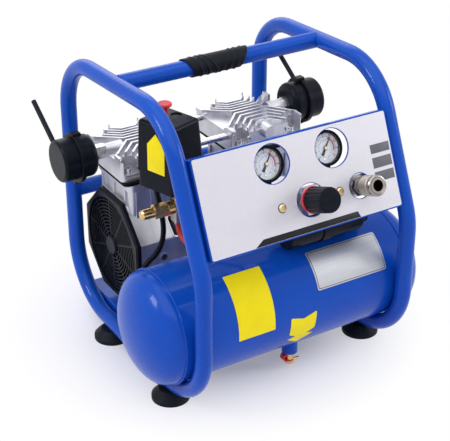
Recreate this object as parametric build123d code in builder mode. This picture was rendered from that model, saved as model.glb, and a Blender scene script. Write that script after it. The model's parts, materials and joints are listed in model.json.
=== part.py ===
"""Portable oil-free air compressor: a twin-cylinder pump and a small tank in a tubular carrying frame.

Units are millimetres. +X runs along the tank to the right, +Y to the rear, +Z up.
The origin is on the floor, at the middle of the whole machine's footprint.
"""

import os
from math import cos, hypot, pi, radians, sin, sqrt, tan

from build123d import *

# Frame of bent tube: two closed hoops, a handle and a rear cross tube
tube_d = 21.3
tube_wall = 1.6
hoop_spacing = 295.4
hoop_depth = 344.5
knee_height = 208.7
front_lean = 23.7
top_height = 388.4
top_slope = 3.4
knee_bend = 87.0
top_front_bend = 83.0
top_rear_bend = 75.0
rear_bend = 83.0
weld_gap = 0.3
handle_setback = 206.0
grip_length = 82.0
grip_shift = -7.0
grip_d = 25.0
grip_end_d = 27.0
grip_clearance = 0.15
cross_tube_height = 180.0

# Rubber feet under the hoops
foot_height = 15.0
foot_base_d = 49.0
foot_top_d = 40.0
foot_recess_d = 15.0
foot_recess_depth = 6.0
foot_span = 161.0
foot_bolt_d = 6.0
foot_bolt_head_d = 12.0
foot_bolt_head_height = 4.0
bolt_clearance = 0.2

# Air tank lying along X
tank_d = 146.2
tank_wall = 2.0
tank_seam_span = 325.2
tank_head_depth = 36.5
tank_head_skirt = 4.0
weld_bead = 1.2
drain_x = 15.0
drain_setback = -25.0
drain_bung_d = 20.5
drain_bung_drop = 14.5
drain_hex = 13.0
drain_hex_height = 1.0
drain_body_d = 10.5
drain_body_length = 8.0
drain_neck_d = 7.0
drain_spout_d = 3.8
drain_spout_length = 9.0
drain_lever_reach = 6.5
drain_lever_width = 8.0
drain_lever_sheet = 1.6
thread_d = 12.0

# Leaning front panel between the hoops, and its silver face sheet
panel_rise = 21.5
panel_height = 121.4
panel_depth = 13.0
panel_sheet = 1.5
panel_corner = 4.0
face_sheet = 0.6
face_margin = 1.8
face_hole_margin = 0.8
gauge_hole_d = 47.0
gauge_spacing = 84.5
gauge_row = 31.4
control_x = 9.4
control_row = -22.0
regulator_hole_d = 40.0
coupler_hole_d = 31.0
coupler_x = 80.6
panel_screw_spacing = 82.6
panel_screw_head_d = 10.0
panel_screw_head_height = 2.6
panel_screw_d = 5.0
panel_screw_length = 14.0

# Pressure gauges behind the panel
gauge_d = 44.0
gauge_setback = 9.0
gauge_depth = 25.0
gauge_bezel = 3.4
gauge_stem_d = 11.0
dial_setback = 5.0
dial_sheet = 1.0
lens_sheet = 1.6
lens_setback = 0.8
needle_length = 14.5
needle_tail = 10.0
needle_width = 2.2
needle_tail_width = 3.8
needle_sheet = 0.6
needle_hub_d = 5.5
spindle_d = 2.0
running_gap = 0.05
needle_reading = 37.0

# Outlet bar that carries gauges, regulator and quick coupler
bar_height = 26.0
bar_depth = 24.0
bar_setback = 6.5
bar_left = -48.0
bar_right = 97.0
regulator_hex = 33.0
regulator_hex_reach = 5.0
regulator_neck_d = 22.0
lock_ring_d = 33.0
lock_ring_thickness = 2.5
knob_d = 32.0
knob_length = 34.0
knob_flutes = 18
knob_flute_d = 3.6
knob_edge = 2.0
coupler_hex = 22.0
coupler_hex_reach = 5.0
coupler_barrel_d = 20.0
coupler_sleeve_d = 26.0
coupler_sleeve_length = 24.0
coupler_stub_wall = 2.0
coupler_reach = 38.0
coupler_bore_d = 14.0
coupler_bore_depth = 18.0
slide_gap = 0.3

# Capacitor lying above the tank, behind the panel's lower edge
capacitor_d = 40.0
capacitor_edge = 3.0
capacitor_cap_edge = 4.0
capacitor_length = 110.0
capacitor_x = 55.0
capacitor_setback = -26.0
capacitor_clearance = 5.0
capacitor_cap_d = 28.0
capacitor_cap_length = 12.0
clip_width = 14.0
clip_sheet = 1.5

# Riser, cross block, pressure switch and safety valve
riser_d = 17.0
riser_bore_d = 9.0
riser_x = -77.0
riser_setback = 70.0
riser_bend = 16.0
block_z = 206.0
block_side = 18.0
block_left_reach = 24.0
cross_corner = 4.0
cross_chamfer = 1.5
block_height = 40.0
switch_turn = 18.0
switch_left_shift = 24.0
switch_rear_shift = 2.0
switch_width = 56.0
switch_depth = 60.0
switch_taper = 2.0
switch_lean = 2.5
switch_wall = 3.0
switch_collar_d = 30.0
switch_collar_height = 12.0
switch_base_height = 20.0
switch_cover_height = 68.0
switch_dome = 5.0
switch_corner = 6.0
switch_lip = 1.2
switch_knob_d = 17.5
switch_knob_shift = 8.5
switch_stem_d = 8.0
switch_knob_rise = 22.0
switch_knob_cap = 7.0
valve_hex = 16.0
valve_hex_length = 18.5
valve_neck_d = 11.0
valve_cap_d = 13.5
valve_cap_length = 17.0
valve_nut_length = 8.5
valve_cap_chamfer = 1.5
gland_d = 13.0
gland_length = 10.0

# Pump: motor barrel, end bells, fan shrouds and fan guards on the shaft axis
shaft_setback = 185.0
shaft_height = 125.5
shaft_d = 14.0
octagon_flat = 147.0
octagon_edge = 5.0
barrel_half = 40.0
barrel_d = 138.0
barrel_wall = 4.0
bell_outer = 101.0
bell_wall = 4.0
shroud_outer = 125.0
guard_outer = 132.0
guard_rim = 6.0
guard_ring_width = 1.5
guard_ring_pitch = 4.8
guard_ring_count = 10
guard_ring_depth = 3.0
guard_ring_inset = 1.2
guard_spoke_count = 10
guard_spoke_width = 1.8
guard_spoke_turn = 22.5
guard_hub_d = 28.0
guard_hub_bulge = 2.5
seam_gap = 0.15
vent_slot_length = 32.0
vent_slot_drop = 15.0
vent_slot_width = 7.0
vent_slot_x = 72.5
vent_rim = 2.0
port_hole_d = 9.0
port_hole_x = 92.0
port_hole_height = 131.0
fan_blades = 9
fan_tip_gap = 3.0
fan_depth = 15.0
fan_hub_d = 44.0
fan_blade_sheet = 2.4
fan_pitch = 38.0
fan_back_sheet = 1.6
fan_blade_root = 4.0
stator_length = 64.0
stator_bore_d = 74.0
rotor_gap = 0.8
rotor_length = 60.0
crank_throw = 6.0
crank_d = 32.0
crank_width = 10.0
bearing_d = 32.0
bearing_width = 9.0
piston_d = 63.0
piston_gap = 0.35
piston_height = 10.0
rod_width = 16.0
rod_ring_wall = 6.0
mount_d = 24.0
base_sheet = 2.5
base_lift = 1.5
base_flange = 22.0
base_front = 118.0
base_depth = 132.0

# Cylinder blocks, gaskets and finned heads
cylinder_x = 82.0
block_width = 86.0
block_depth = 94.0
block_corner = 8.0
block_rib = 2.0
block_top = 236.0
gasket_sheet = 4.5
gasket_margin = 3.0
head_width = 110.0
head_depth = 104.0
head_flange = 8.0
head_eave = 30.0
head_ridge = 6.0
head_tab_top = 31.0
head_crown = 34.0
head_corner = 7.0
fin_sheet = 2.6
fin_pitch = 8.4
fin_count = 5
head_pocket = 21.0
head_tab = 3.5
head_valley = 25.0
head_lip = 2.0
fin_level = 10.0
head_boss_drop = 6.0
face_bolt_d = 7.0
face_bolt_reach = 2.5
face_bolt_spacing = 61.0
face_bolt_drop = 10.0
head_boss_d = 20.0
head_boss_reach = 8.0
head_bolt_d = 6.0
head_bolt_head_d = 10.0
head_bolt_head_height = 6.0
crossover_d = 9.0
crossover_offset = 35.0
crossover_rise = 20.0
crossover_socket = 8.0

# Intake filters at the heads' outer sides
filter_rise = 26.5
filter_shift = 3.0
filter_d = 55.0
filter_band_d = 64.0
filter_fitting_hex = 17.0
left_fitting_reach = 18.5
right_fitting_reach = 7.5
filter_base_length = 20.5
filter_band_width = 6.0
filter_cover_length = 21.0
filter_edge = 4.0
filter_wall = 2.5
filter_latch_width = 11.0
filter_latch_height = 5.0
filter_latch_reach = 5.0
inlet_d = 6.5
inlet_bore_d = 4.0
inlet_lift = 33.0
inlet_reach = 95.0
left_inlet_inset = 7.5
right_inlet_inset = 14.5

# Delivery pipe, hoses and the motor lead
pipe_d = 9.5
pipe_x = -64.0
check_valve_hex = 22.0
check_valve_height = 20.0
check_valve_setback = 36.0
check_bung_rise = 9.0
hose_d = 8.0
lead_d = 7.0
lead_x = -105.0
hose_x = -93.5
hose_drop = 24.0

# Places worked out from the sizes above
tube_r = tube_d / 2
hoop_x = hoop_spacing / 2
tank_r = tank_d / 2
bottom_z = foot_height + tube_r
wrap_r = tank_r + weld_gap + tube_r
tank_z = bottom_z + wrap_r
lean_sin = sin(radians(front_lean))
lean_cos = cos(radians(front_lean))
knob_reach = regulator_hex_reach + lock_ring_thickness + slide_gap + knob_length
controls_along = panel_rise + panel_height / 2 + control_row
knob_out = (tube_r + knob_reach) * lean_cos + knob_d / 2 * lean_sin
front_reach = wrap_r - controls_along * lean_sin + knob_out
rear_reach = hoop_depth - wrap_r + tube_r
tank_y = (front_reach - rear_reach) / 2
front_y = tank_y - wrap_r
rear_y = front_y + hoop_depth
shaft_y = tank_y + shaft_setback
shaft_z = shaft_height
top_front_y = front_y + (top_height - knee_height) * lean_sin / lean_cos
top_rear_z = top_height - (rear_y - top_front_y) * tan(radians(top_slope))
handle_y = tank_y + handle_setback - wrap_r
handle_z = top_height - (handle_y - top_front_y) * tan(radians(top_slope))
inner_x = hoop_x - tube_r - weld_gap
octagon_r = octagon_flat / 2
head_z = block_top + gasket_sheet
filter_z = head_z + filter_rise
head_outer = cylinder_x + head_width / 2
head_inner = cylinder_x - head_width / 2
head_front = shaft_y - head_depth / 2
gasket_hole_d = piston_d + 2 * piston_gap

panel_up = (0, lean_sin, lean_cos)
panel_out = (0, -lean_cos, lean_sin)
panel_middle = panel_rise + panel_height / 2
panel_y = front_y + panel_middle * lean_sin - tube_r * lean_cos
panel_z = knee_height + panel_middle * lean_cos + tube_r * lean_sin
panel_plane = Plane(origin=(0, panel_y, panel_z), x_dir=(1, 0, 0), z_dir=panel_out)
sides = {"left": -1, "right": 1}

os.makedirs("parts", exist_ok=True)


def save(piece, name):
    """Label a finished piece and write its STEP file."""
    piece.part.label = name
    export_step(piece.part, f"parts/{name}.step")


def save_pair(maker, name):
    """Write a left and a right piece together, as two solids of one node."""
    pieces = [maker(side) for side in sides.values()]
    with BuildPart() as pair:
        add([piece.part for piece in pieces])
    save(pair, name)


def cross_plane(x):
    """A plane across the shaft axis, its local x to the rear and its local y up."""
    return Plane(origin=(x, shaft_y, shaft_z), x_dir=(0, 1, 0), z_dir=(1, 0, 0))


def on_panel(x, row, out):
    """A plane parallel to the front panel, at a place on the panel and a height in front of it."""
    return Plane(origin=panel_plane.from_local_coords((x, row, out)), x_dir=(1, 0, 0), z_dir=panel_out)


def corner_bends(points):
    """The largest tangent arc for each corner of a hose or lead."""
    bends = []
    for before, here, after in zip(points, points[1:], points[2:]):
        one = Vector(*here) - Vector(*before)
        two = Vector(*after) - Vector(*here)
        half_turn = radians(one.get_angle(two)) / 2
        bends.append(0.45 * min(one.length, two.length) / tan(half_turn))
    return bends


def hose(points, diameter):
    """A round hose or lead along straight runs joined by tangent arcs."""
    with BuildPart() as piece:
        with BuildLine() as path:
            FilletPolyline(*points, radius=corner_bends(points))
        with BuildSketch(Plane(origin=path.line @ 0, z_dir=path.line % 0)):
            Circle(diameter / 2)
        sweep()
    return piece


# Frame hoops
hoop_corners = [
    (front_y, bottom_z),
    (front_y, knee_height),
    (top_front_y, top_height),
    (rear_y, top_rear_z),
    (rear_y, bottom_z),
]
hoop_bends = [wrap_r, knee_bend, top_front_bend, top_rear_bend, rear_bend]
foot_places = [tank_y, tank_y + foot_span]


def hoop(side):
    """One closed hoop of bent tube, drilled underneath for its two feet."""
    with BuildPart() as piece:
        with BuildLine(Plane.YZ.offset(side * hoop_x)) as path:
            FilletPolyline(*hoop_corners, radius=hoop_bends, close=True)
        with BuildSketch(Plane(origin=path.line @ 0, z_dir=path.line % 0)):
            Circle(tube_r)
            Circle(tube_r - tube_wall, mode=Mode.SUBTRACT)
        sweep()
        with Locations(*[(side * hoop_x, y, foot_height) for y in foot_places]):
            Cylinder(foot_bolt_d / 2 + bolt_clearance, tube_d, mode=Mode.SUBTRACT)
    return piece


for name, side in sides.items():
    save(hoop(side), f"{name}_hoop")


def cross_bar(y, z, cut_tilt):
    """A straight tube between the hoops, its ends coped round the hoop tubes."""
    with BuildPart() as piece:
        with BuildSketch(Plane(origin=(-hoop_x + tube_r / 2, y, z), x_dir=(0, 1, 0), z_dir=(1, 0, 0))):
            Circle(tube_r)
            Circle(tube_r - tube_wall, mode=Mode.SUBTRACT)
        extrude(amount=2 * hoop_x - tube_r)
        with Locations((-hoop_x, y, z), (hoop_x, y, z)):
            Cylinder(tube_r + weld_gap, 4 * tube_d, rotation=(cut_tilt, 0, 0), mode=Mode.SUBTRACT)
    return piece


save(cross_bar(handle_y, handle_z, 90 - top_slope), "handle_bar")
save(cross_bar(rear_y, cross_tube_height, 0), "rear_cross_tube")

# Rubber grip on the handle, with rounded end beads and finger waves
grip_in = tube_r + grip_clearance
grip_plane = Plane(origin=(grip_shift, handle_y, handle_z), x_dir=(1, 0, 0), z_dir=(0, -1, 0))
grip_bead = 7.0
grip_waves = 5
with BuildPart() as handle_grip:
    with BuildSketch(grip_plane):
        with BuildLine():
            half = grip_length / 2
            wave_span = grip_length - 2 * grip_bead
            Polyline((-half, grip_d / 2), (-half, grip_in), (half, grip_in), (half, grip_d / 2))
            for end in (-half, half):
                bead = -grip_bead if end > 0 else grip_bead
                ThreePointArc((end, grip_d / 2), (end + bead / 2, grip_end_d / 2), (end + bead, grip_d / 2))
            for i in range(grip_waves):
                start = -wave_span / 2 + i * wave_span / grip_waves
                stop = start + wave_span / grip_waves
                crest = grip_d / 2 + (grip_end_d - grip_d) / 4
                ThreePointArc((start, grip_d / 2), ((start + stop) / 2, crest), (stop, grip_d / 2))
        make_face()
    revolve(axis=Axis((grip_shift, handle_y, handle_z), (1, 0, 0)))
save(handle_grip, "handle_grip")

# Rubber feet and their bolts
foot_spots = [(side * hoop_x, y) for side in sides.values() for y in foot_places]
foot_shoulder = 5.0
with BuildPart() as rubber_feet:
    for x, y in foot_spots:
        with BuildSketch(Plane(origin=(x, y, 0), x_dir=(1, 0, 0), z_dir=(0, -1, 0))):
            with BuildLine():
                Polyline(
                    (foot_recess_d / 2, 0),
                    (foot_base_d / 2, 0),
                    (foot_base_d / 2, foot_shoulder),
                    (foot_top_d / 2, foot_height - foot_shoulder),
                    (foot_top_d / 2 - foot_shoulder, foot_height - weld_gap),
                    (foot_bolt_d / 2 + bolt_clearance, foot_height - weld_gap),
                    (foot_bolt_d / 2 + bolt_clearance, foot_recess_depth),
                    (foot_recess_d / 2, foot_recess_depth),
                    close=True,
                )
            make_face()
        revolve(axis=Axis((x, y, 0), (0, 0, 1)))
save(rubber_feet, "rubber_feet")

with BuildPart() as foot_bolts:
    for x, y in foot_spots:
        with BuildSketch(Plane(origin=(x, y, foot_recess_depth - foot_bolt_head_height))):
            Circle(foot_bolt_head_d / 2)
        extrude(amount=foot_bolt_head_height)
        with BuildSketch(Plane(origin=(x, y, foot_recess_depth))):
            Circle(foot_bolt_d / 2)
        extrude(amount=foot_height - foot_recess_depth + tube_wall)
save(foot_bolts, "foot_bolts")

# Tank shell with its riser and drain openings
seam_x = tank_seam_span / 2
riser_y = tank_y + riser_setback
drain_y = tank_y + drain_setback
check_y = tank_y + check_valve_setback
drain_top_z = tank_z - sqrt(tank_r**2 - drain_setback**2)
check_top_z = tank_z + sqrt(tank_r**2 - check_valve_setback**2)
riser_root = tank_r - 2 * tank_wall
riser_foot = (riser_x, tank_y + riser_root * cos(pi / 4), tank_z + riser_root * sin(pi / 4))
riser_knee = (riser_x, riser_y, tank_z + riser_setback)
with BuildPart() as tank_shell:
    with BuildSketch(Plane(origin=(-seam_x, tank_y, tank_z), x_dir=(0, 1, 0), z_dir=(1, 0, 0))):
        Circle(tank_r)
        Circle(tank_r - tank_wall, mode=Mode.SUBTRACT)
    extrude(amount=tank_seam_span)
    with BuildSketch(Plane(origin=riser_foot, z_dir=(0, 1, 1))):
        Circle(riser_d / 2 + bolt_clearance)
    extrude(amount=4 * tank_wall, both=True, mode=Mode.SUBTRACT)
    with BuildSketch(Plane(origin=(drain_x, drain_y, drain_top_z - drain_bung_drop))):
        Circle(drain_bung_d / 2)
    extrude(until=Until.NEXT)
    with BuildSketch(Plane(origin=(pipe_x, check_y, check_top_z + check_bung_rise))):
        Circle(check_valve_hex / 2)
    extrude(amount=-2 * check_bung_rise)
    with BuildSketch(Plane(origin=(-seam_x, tank_y, tank_z), x_dir=(0, 1, 0), z_dir=(1, 0, 0))):
        Circle(tank_r - tank_wall)
    extrude(amount=tank_seam_span, mode=Mode.SUBTRACT)
    with Locations((drain_x, drain_y, drain_top_z)):
        Cylinder(thread_d / 2, 4 * drain_bung_drop, mode=Mode.SUBTRACT)
    with Locations((pipe_x, check_y, check_top_z)):
        Cylinder(thread_d / 2, 4 * drain_bung_drop, mode=Mode.SUBTRACT)
save(tank_shell, "tank_shell")


def tank_head(side):
    """A dished end with a short skirt and the weld bead round its seam."""
    tip = tank_head_depth
    seam_plane = Plane(origin=(side * seam_x, tank_y, tank_z), x_dir=(side, 0, 0), z_dir=(0, -side, 0))
    with BuildPart() as piece:
        with BuildSketch(seam_plane):
            with BuildLine():
                EllipticalCenterArc((tank_head_skirt, 0), tip, tank_r, start_angle=0, arc_size=90)
                Line((tank_head_skirt, tank_r), (0, tank_r))
                Line((0, tank_r), (0, tank_r - tank_wall))
                Line((0, tank_r - tank_wall), (tank_head_skirt, tank_r - tank_wall))
                EllipticalCenterArc(
                    (tank_head_skirt, 0), tip - tank_wall, tank_r - tank_wall, start_angle=0, arc_size=90
                )
                Line((tank_head_skirt + tip - tank_wall, 0), (tank_head_skirt + tip, 0))
            make_face()
            with Locations((weld_bead, tank_r)):
                Circle(weld_bead)
        revolve(axis=Axis((0, tank_y, tank_z), (1, 0, 0)))
    return piece


save_pair(tank_head, "tank_heads")

# Drain cock under the tank: brass body on a neck, and a red strap lever that turns round it
drain_z = drain_top_z - drain_bung_drop
lever_top_z = drain_z - drain_hex_height - running_gap
body_top_z = lever_top_z - drain_lever_sheet - slide_gap
body_low_z = body_top_z - drain_body_length
lever_low_z = body_low_z - slide_gap
nut_top_z = lever_low_z - drain_lever_sheet - slide_gap
nut_low_z = nut_top_z - drain_body_length / 2


def drain_plane(height):
    """A level plane on the drain's axis."""
    return Plane(origin=(drain_x, drain_y, height))


with BuildPart() as drain_valve:
    with BuildSketch(drain_plane(drain_z)):
        RegularPolygon(drain_hex / 2, 6, major_radius=False)
    extrude(amount=-drain_hex_height)
    with BuildSketch(drain_plane(drain_z)):
        Circle(thread_d / 2 - bolt_clearance)
    extrude(amount=drain_bung_drop)
    with BuildSketch(drain_plane(drain_z)):
        Circle(drain_neck_d / 2)
    extrude(amount=nut_low_z - drain_z)
    with BuildSketch(drain_plane(body_low_z)):
        Circle(drain_body_d / 2)
    extrude(amount=drain_body_length)
    with BuildSketch(drain_plane(nut_low_z)):
        RegularPolygon(drain_body_d / 2, 6, major_radius=False)
    extrude(amount=nut_top_z - nut_low_z)
    with BuildSketch(Plane(origin=(drain_x, drain_y, (nut_top_z + nut_low_z) / 2), z_dir=(1, 0, 0))):
        Circle(drain_spout_d / 2)
    extrude(amount=drain_body_d / 2 + drain_spout_length)
    with BuildSketch(drain_plane(nut_low_z)):
        Circle(drain_neck_d / 4)
    extrude(amount=drain_body_length, mode=Mode.SUBTRACT)
save(drain_valve, "drain_valve")

lever_eye_r = drain_neck_d / 2 + running_gap
lever_end = drain_body_d / 2 + drain_lever_reach
strap_height = lever_top_z - lever_low_z + drain_lever_sheet
strap_bend = strap_height / 2
with BuildPart() as drain_lever:
    for arm_z in (lever_top_z, lever_low_z):
        with BuildSketch(drain_plane(arm_z)):
            with Locations((-(lever_end - strap_bend) / 2, 0)):
                Rectangle(lever_end - strap_bend, drain_lever_width)
            Circle(lever_eye_r + drain_lever_sheet)
            Circle(lever_eye_r, mode=Mode.SUBTRACT)
        extrude(amount=-drain_lever_sheet)
    bend_x = drain_x - lever_end + strap_bend
    bend_middle = (bend_x, drain_y - drain_lever_width / 2, lever_top_z - strap_bend)
    with BuildSketch(Plane(origin=bend_middle, x_dir=(-1, 0, 0), z_dir=(0, 1, 0))):
        Circle(strap_bend)
        Circle(strap_bend - drain_lever_sheet, mode=Mode.SUBTRACT)
        with Locations((-strap_bend, 0)):
            Rectangle(2 * strap_bend, 2 * strap_height, mode=Mode.SUBTRACT)
    extrude(amount=drain_lever_width)
save(drain_lever, "drain_lever")

# Front panel: a folded tray with holes for gauges, regulator, coupler and screws
panel_width = 2 * inner_x
gauge_places = {"tank": control_x - gauge_spacing / 2, "outlet": control_x + gauge_spacing / 2}
screw_places = [(control_x + half * panel_screw_spacing, control_row) for half in (-0.5, 0.5)]
panel_holes = [(x, gauge_row, gauge_hole_d) for x in gauge_places.values()]
panel_holes.append((control_x, control_row, regulator_hole_d))
panel_holes.append((coupler_x, control_row, coupler_hole_d))


def panel_less(margin):
    """The panel's width and height with a margin taken off all round."""
    return panel_width - 2 * margin, panel_height - 2 * margin


with BuildPart() as front_panel:
    with BuildSketch(panel_plane):
        RectangleRounded(panel_width, panel_height, panel_corner)
    extrude(amount=-panel_depth)
    with BuildSketch(panel_plane.offset(-panel_sheet)):
        RectangleRounded(*panel_less(panel_sheet), panel_corner - panel_sheet)
    extrude(amount=-panel_depth, mode=Mode.SUBTRACT)
    with BuildSketch(panel_plane):
        for x, row, diameter in panel_holes:
            with Locations((x, row)):
                Circle(diameter / 2)
        with Locations(*screw_places):
            Circle(panel_screw_d / 2 + bolt_clearance)
    extrude(amount=-2 * panel_sheet, mode=Mode.SUBTRACT)
save(front_panel, "front_panel")

with BuildPart() as panel_face:
    with BuildSketch(panel_plane):
        RectangleRounded(*panel_less(face_margin), panel_corner - face_margin)
        for x, row, diameter in panel_holes:
            with Locations((x, row)):
                Circle(diameter / 2 + face_hole_margin, mode=Mode.SUBTRACT)
        with Locations(*screw_places):
            Circle(panel_screw_head_d / 2 + face_hole_margin, mode=Mode.SUBTRACT)
    extrude(amount=face_sheet)
save(panel_face, "panel_face")

with BuildPart() as panel_screws:
    for x, row in screw_places:
        with BuildSketch(on_panel(x, row, 0)):
            Circle(panel_screw_head_d / 2)
        extrude(amount=panel_screw_head_height, taper=20)
        with BuildSketch(on_panel(x, row, 0)):
            Circle(panel_screw_d / 2)
        extrude(amount=-panel_screw_length)
        with BuildSketch(on_panel(x, row, panel_screw_head_height)):
            Rectangle(panel_screw_d, 1)
            Rectangle(1, panel_screw_d)
        extrude(amount=-panel_screw_head_height / 2, mode=Mode.SUBTRACT)
save(panel_screws, "panel_screws")

# Outlet bar behind the panel, standing off on two bosses
bar_middle = (bar_left + bar_right) / 2
bar_back = bar_setback + bar_depth
with BuildPart() as outlet_bar:
    with BuildSketch(on_panel(bar_middle, control_row, -bar_setback)):
        RectangleRounded(bar_right - bar_left, bar_height, panel_corner)
    extrude(amount=-bar_depth)
    for x, row in screw_places:
        with BuildSketch(on_panel(x, row, -panel_sheet)):
            Circle(panel_screw_head_d / 2)
        extrude(amount=panel_sheet - bar_setback)
    for x, row in screw_places:
        with BuildSketch(on_panel(x, row, 0)):
            Circle(panel_screw_d / 2 + bolt_clearance)
        extrude(amount=-panel_screw_length - 1, mode=Mode.SUBTRACT)
save(outlet_bar, "outlet_bar")


def gauge_case(x):
    """A round gauge cup with a bezel, on a stem that stands on the outlet bar."""
    stem_top = gauge_row - gauge_d / 2 + gauge_bezel
    stem_foot = control_row + bar_height / 2
    stem_out = -gauge_setback - gauge_depth / 2
    with BuildPart() as piece:
        with BuildSketch(on_panel(x, gauge_row, -gauge_setback)):
            Circle(gauge_d / 2)
        extrude(amount=-gauge_depth)
        fillet(piece.edges().filter_by(GeomType.CIRCLE), gauge_bezel / 3)
        stem_plane = Plane(
            origin=panel_plane.from_local_coords((x, stem_foot, stem_out)), x_dir=(1, 0, 0), z_dir=panel_up
        )
        with BuildSketch(stem_plane):
            RegularPolygon(gauge_stem_d / 2, 6, major_radius=False)
        extrude(amount=stem_top - stem_foot)
        with BuildSketch(on_panel(x, gauge_row, -gauge_setback)):
            Circle(gauge_d / 2 - gauge_bezel)
        extrude(amount=-dial_setback - dial_sheet, mode=Mode.SUBTRACT)
    return piece


gauge_pair = [gauge_case(x) for x in gauge_places.values()]
with BuildPart() as gauge_cases:
    add([gauge.part for gauge in gauge_pair])
save(gauge_cases, "gauge_cases")

dial_r = gauge_d / 2 - gauge_bezel - slide_gap
dial_out = -gauge_setback - dial_setback
with BuildPart() as gauge_dials:
    for x in gauge_places.values():
        with BuildSketch(on_panel(x, gauge_row, dial_out - dial_sheet)):
            Circle(dial_r)
        extrude(amount=dial_sheet)
        with BuildSketch(on_panel(x, gauge_row, dial_out)):
            Circle(spindle_d / 2)
        extrude(amount=dial_setback / 2)
save(gauge_dials, "gauge_dials")

with BuildPart() as gauge_lenses:
    for x in gauge_places.values():
        with BuildSketch(on_panel(x, gauge_row, -gauge_setback - lens_setback)):
            Circle(dial_r)
        extrude(amount=-lens_sheet)
save(gauge_lenses, "gauge_lenses")


def gauge_needle(x):
    """A pointer with a thick tail and a round hub on the spindle."""
    with BuildPart() as piece:
        with BuildSketch(on_panel(x, gauge_row, dial_out + slide_gap)):
            with BuildLine(Plane.XY.rotated((0, 0, -needle_reading))):
                Polyline(
                    (-needle_width / 2, 0),
                    (-needle_tail_width / 2, -needle_tail),
                    (needle_tail_width / 2, -needle_tail),
                    (needle_width / 2, 0),
                    (needle_width / 6, needle_length),
                    (-needle_width / 6, needle_length),
                    close=True,
                )
            make_face()
            Circle(needle_hub_d / 2)
            Circle(spindle_d / 2 + running_gap, mode=Mode.SUBTRACT)
        extrude(amount=needle_sheet)
    return piece


for name, x in gauge_places.items():
    save(gauge_needle(x), f"{name}_gauge_needle")

# Regulator bonnet, red lock ring and fluted knob
ring_out = regulator_hex_reach
knob_out = ring_out + lock_ring_thickness
with BuildPart() as regulator_bonnet:
    with BuildSketch(on_panel(control_x, control_row, -bar_setback)):
        RegularPolygon(regulator_hex / 2, 6, major_radius=False)
    extrude(amount=bar_setback + regulator_hex_reach)
    with BuildSketch(on_panel(control_x, control_row, ring_out)):
        Circle(regulator_neck_d / 2)
    extrude(amount=lock_ring_thickness + knob_length / 2)
save(regulator_bonnet, "regulator_bonnet")

with BuildPart() as regulator_ring:
    with BuildSketch(on_panel(control_x, control_row, ring_out)):
        Circle(lock_ring_d / 2)
        Circle(regulator_neck_d / 2 + bolt_clearance, mode=Mode.SUBTRACT)
    extrude(amount=lock_ring_thickness)
save(regulator_ring, "regulator_ring")

knob_socket = knob_length / 2 + slide_gap
with BuildPart() as regulator_knob:
    with BuildSketch(on_panel(control_x, control_row, knob_out + slide_gap)):
        Circle(knob_d / 2)
    extrude(amount=knob_length, taper=1)
    fillet(regulator_knob.edges().filter_by(GeomType.CIRCLE).sort_by(Axis((0, 0, 0), panel_out))[-1], knob_edge)
    with BuildSketch(on_panel(control_x, control_row, knob_out + slide_gap)):
        with PolarLocations(knob_d / 2 + knob_flute_d / 6, knob_flutes):
            Circle(knob_flute_d / 2)
    extrude(amount=knob_length, mode=Mode.SUBTRACT)
    with BuildSketch(on_panel(control_x, control_row, knob_out + slide_gap)):
        Circle(regulator_neck_d / 2 + slide_gap)
    extrude(amount=knob_socket, mode=Mode.SUBTRACT)
save(regulator_knob, "regulator_knob")

# Quick coupler: fixed body with its bore, and the sprung sleeve round it
sleeve_out = coupler_reach - coupler_sleeve_length
with BuildPart() as coupler_body:
    with BuildSketch(on_panel(coupler_x, control_row, -bar_setback)):
        Circle(thread_d / 2 + coupler_stub_wall)
    extrude(amount=bar_setback)
    with BuildSketch(on_panel(coupler_x, control_row, 0)):
        RegularPolygon(coupler_hex / 2, 6, major_radius=False)
    extrude(amount=coupler_hex_reach)
    with BuildSketch(on_panel(coupler_x, control_row, coupler_hex_reach)):
        Circle(coupler_barrel_d / 2)
    extrude(amount=coupler_reach - coupler_hex_reach)
    with BuildSketch(on_panel(coupler_x, control_row, coupler_reach)):
        Circle(coupler_bore_d / 2)
    extrude(amount=-coupler_bore_depth, mode=Mode.SUBTRACT)
save(coupler_body, "coupler_body")

sleeve_groove = 1.0
sleeve_groove_count = 5
sleeve_groove_start = 4.0
sleeve_groove_pitch = 2.4
with BuildPart() as coupler_sleeve:
    with BuildSketch(on_panel(coupler_x, control_row, sleeve_out)):
        Circle(coupler_sleeve_d / 2)
    extrude(amount=coupler_sleeve_length)
    chamfer(coupler_sleeve.edges().filter_by(GeomType.CIRCLE), sleeve_groove)
    for i in range(sleeve_groove_count):
        groove_out = sleeve_out + sleeve_groove_start + i * sleeve_groove_pitch
        with BuildSketch(on_panel(coupler_x, control_row, groove_out)):
            Circle(coupler_sleeve_d)
            Circle(coupler_sleeve_d / 2 - sleeve_groove, mode=Mode.SUBTRACT)
        extrude(amount=sleeve_groove, mode=Mode.SUBTRACT)
    with BuildSketch(on_panel(coupler_x, control_row, sleeve_out)):
        Circle(coupler_barrel_d / 2 + slide_gap)
    extrude(amount=coupler_sleeve_length, mode=Mode.SUBTRACT)
save(coupler_sleeve, "coupler_sleeve")

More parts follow.
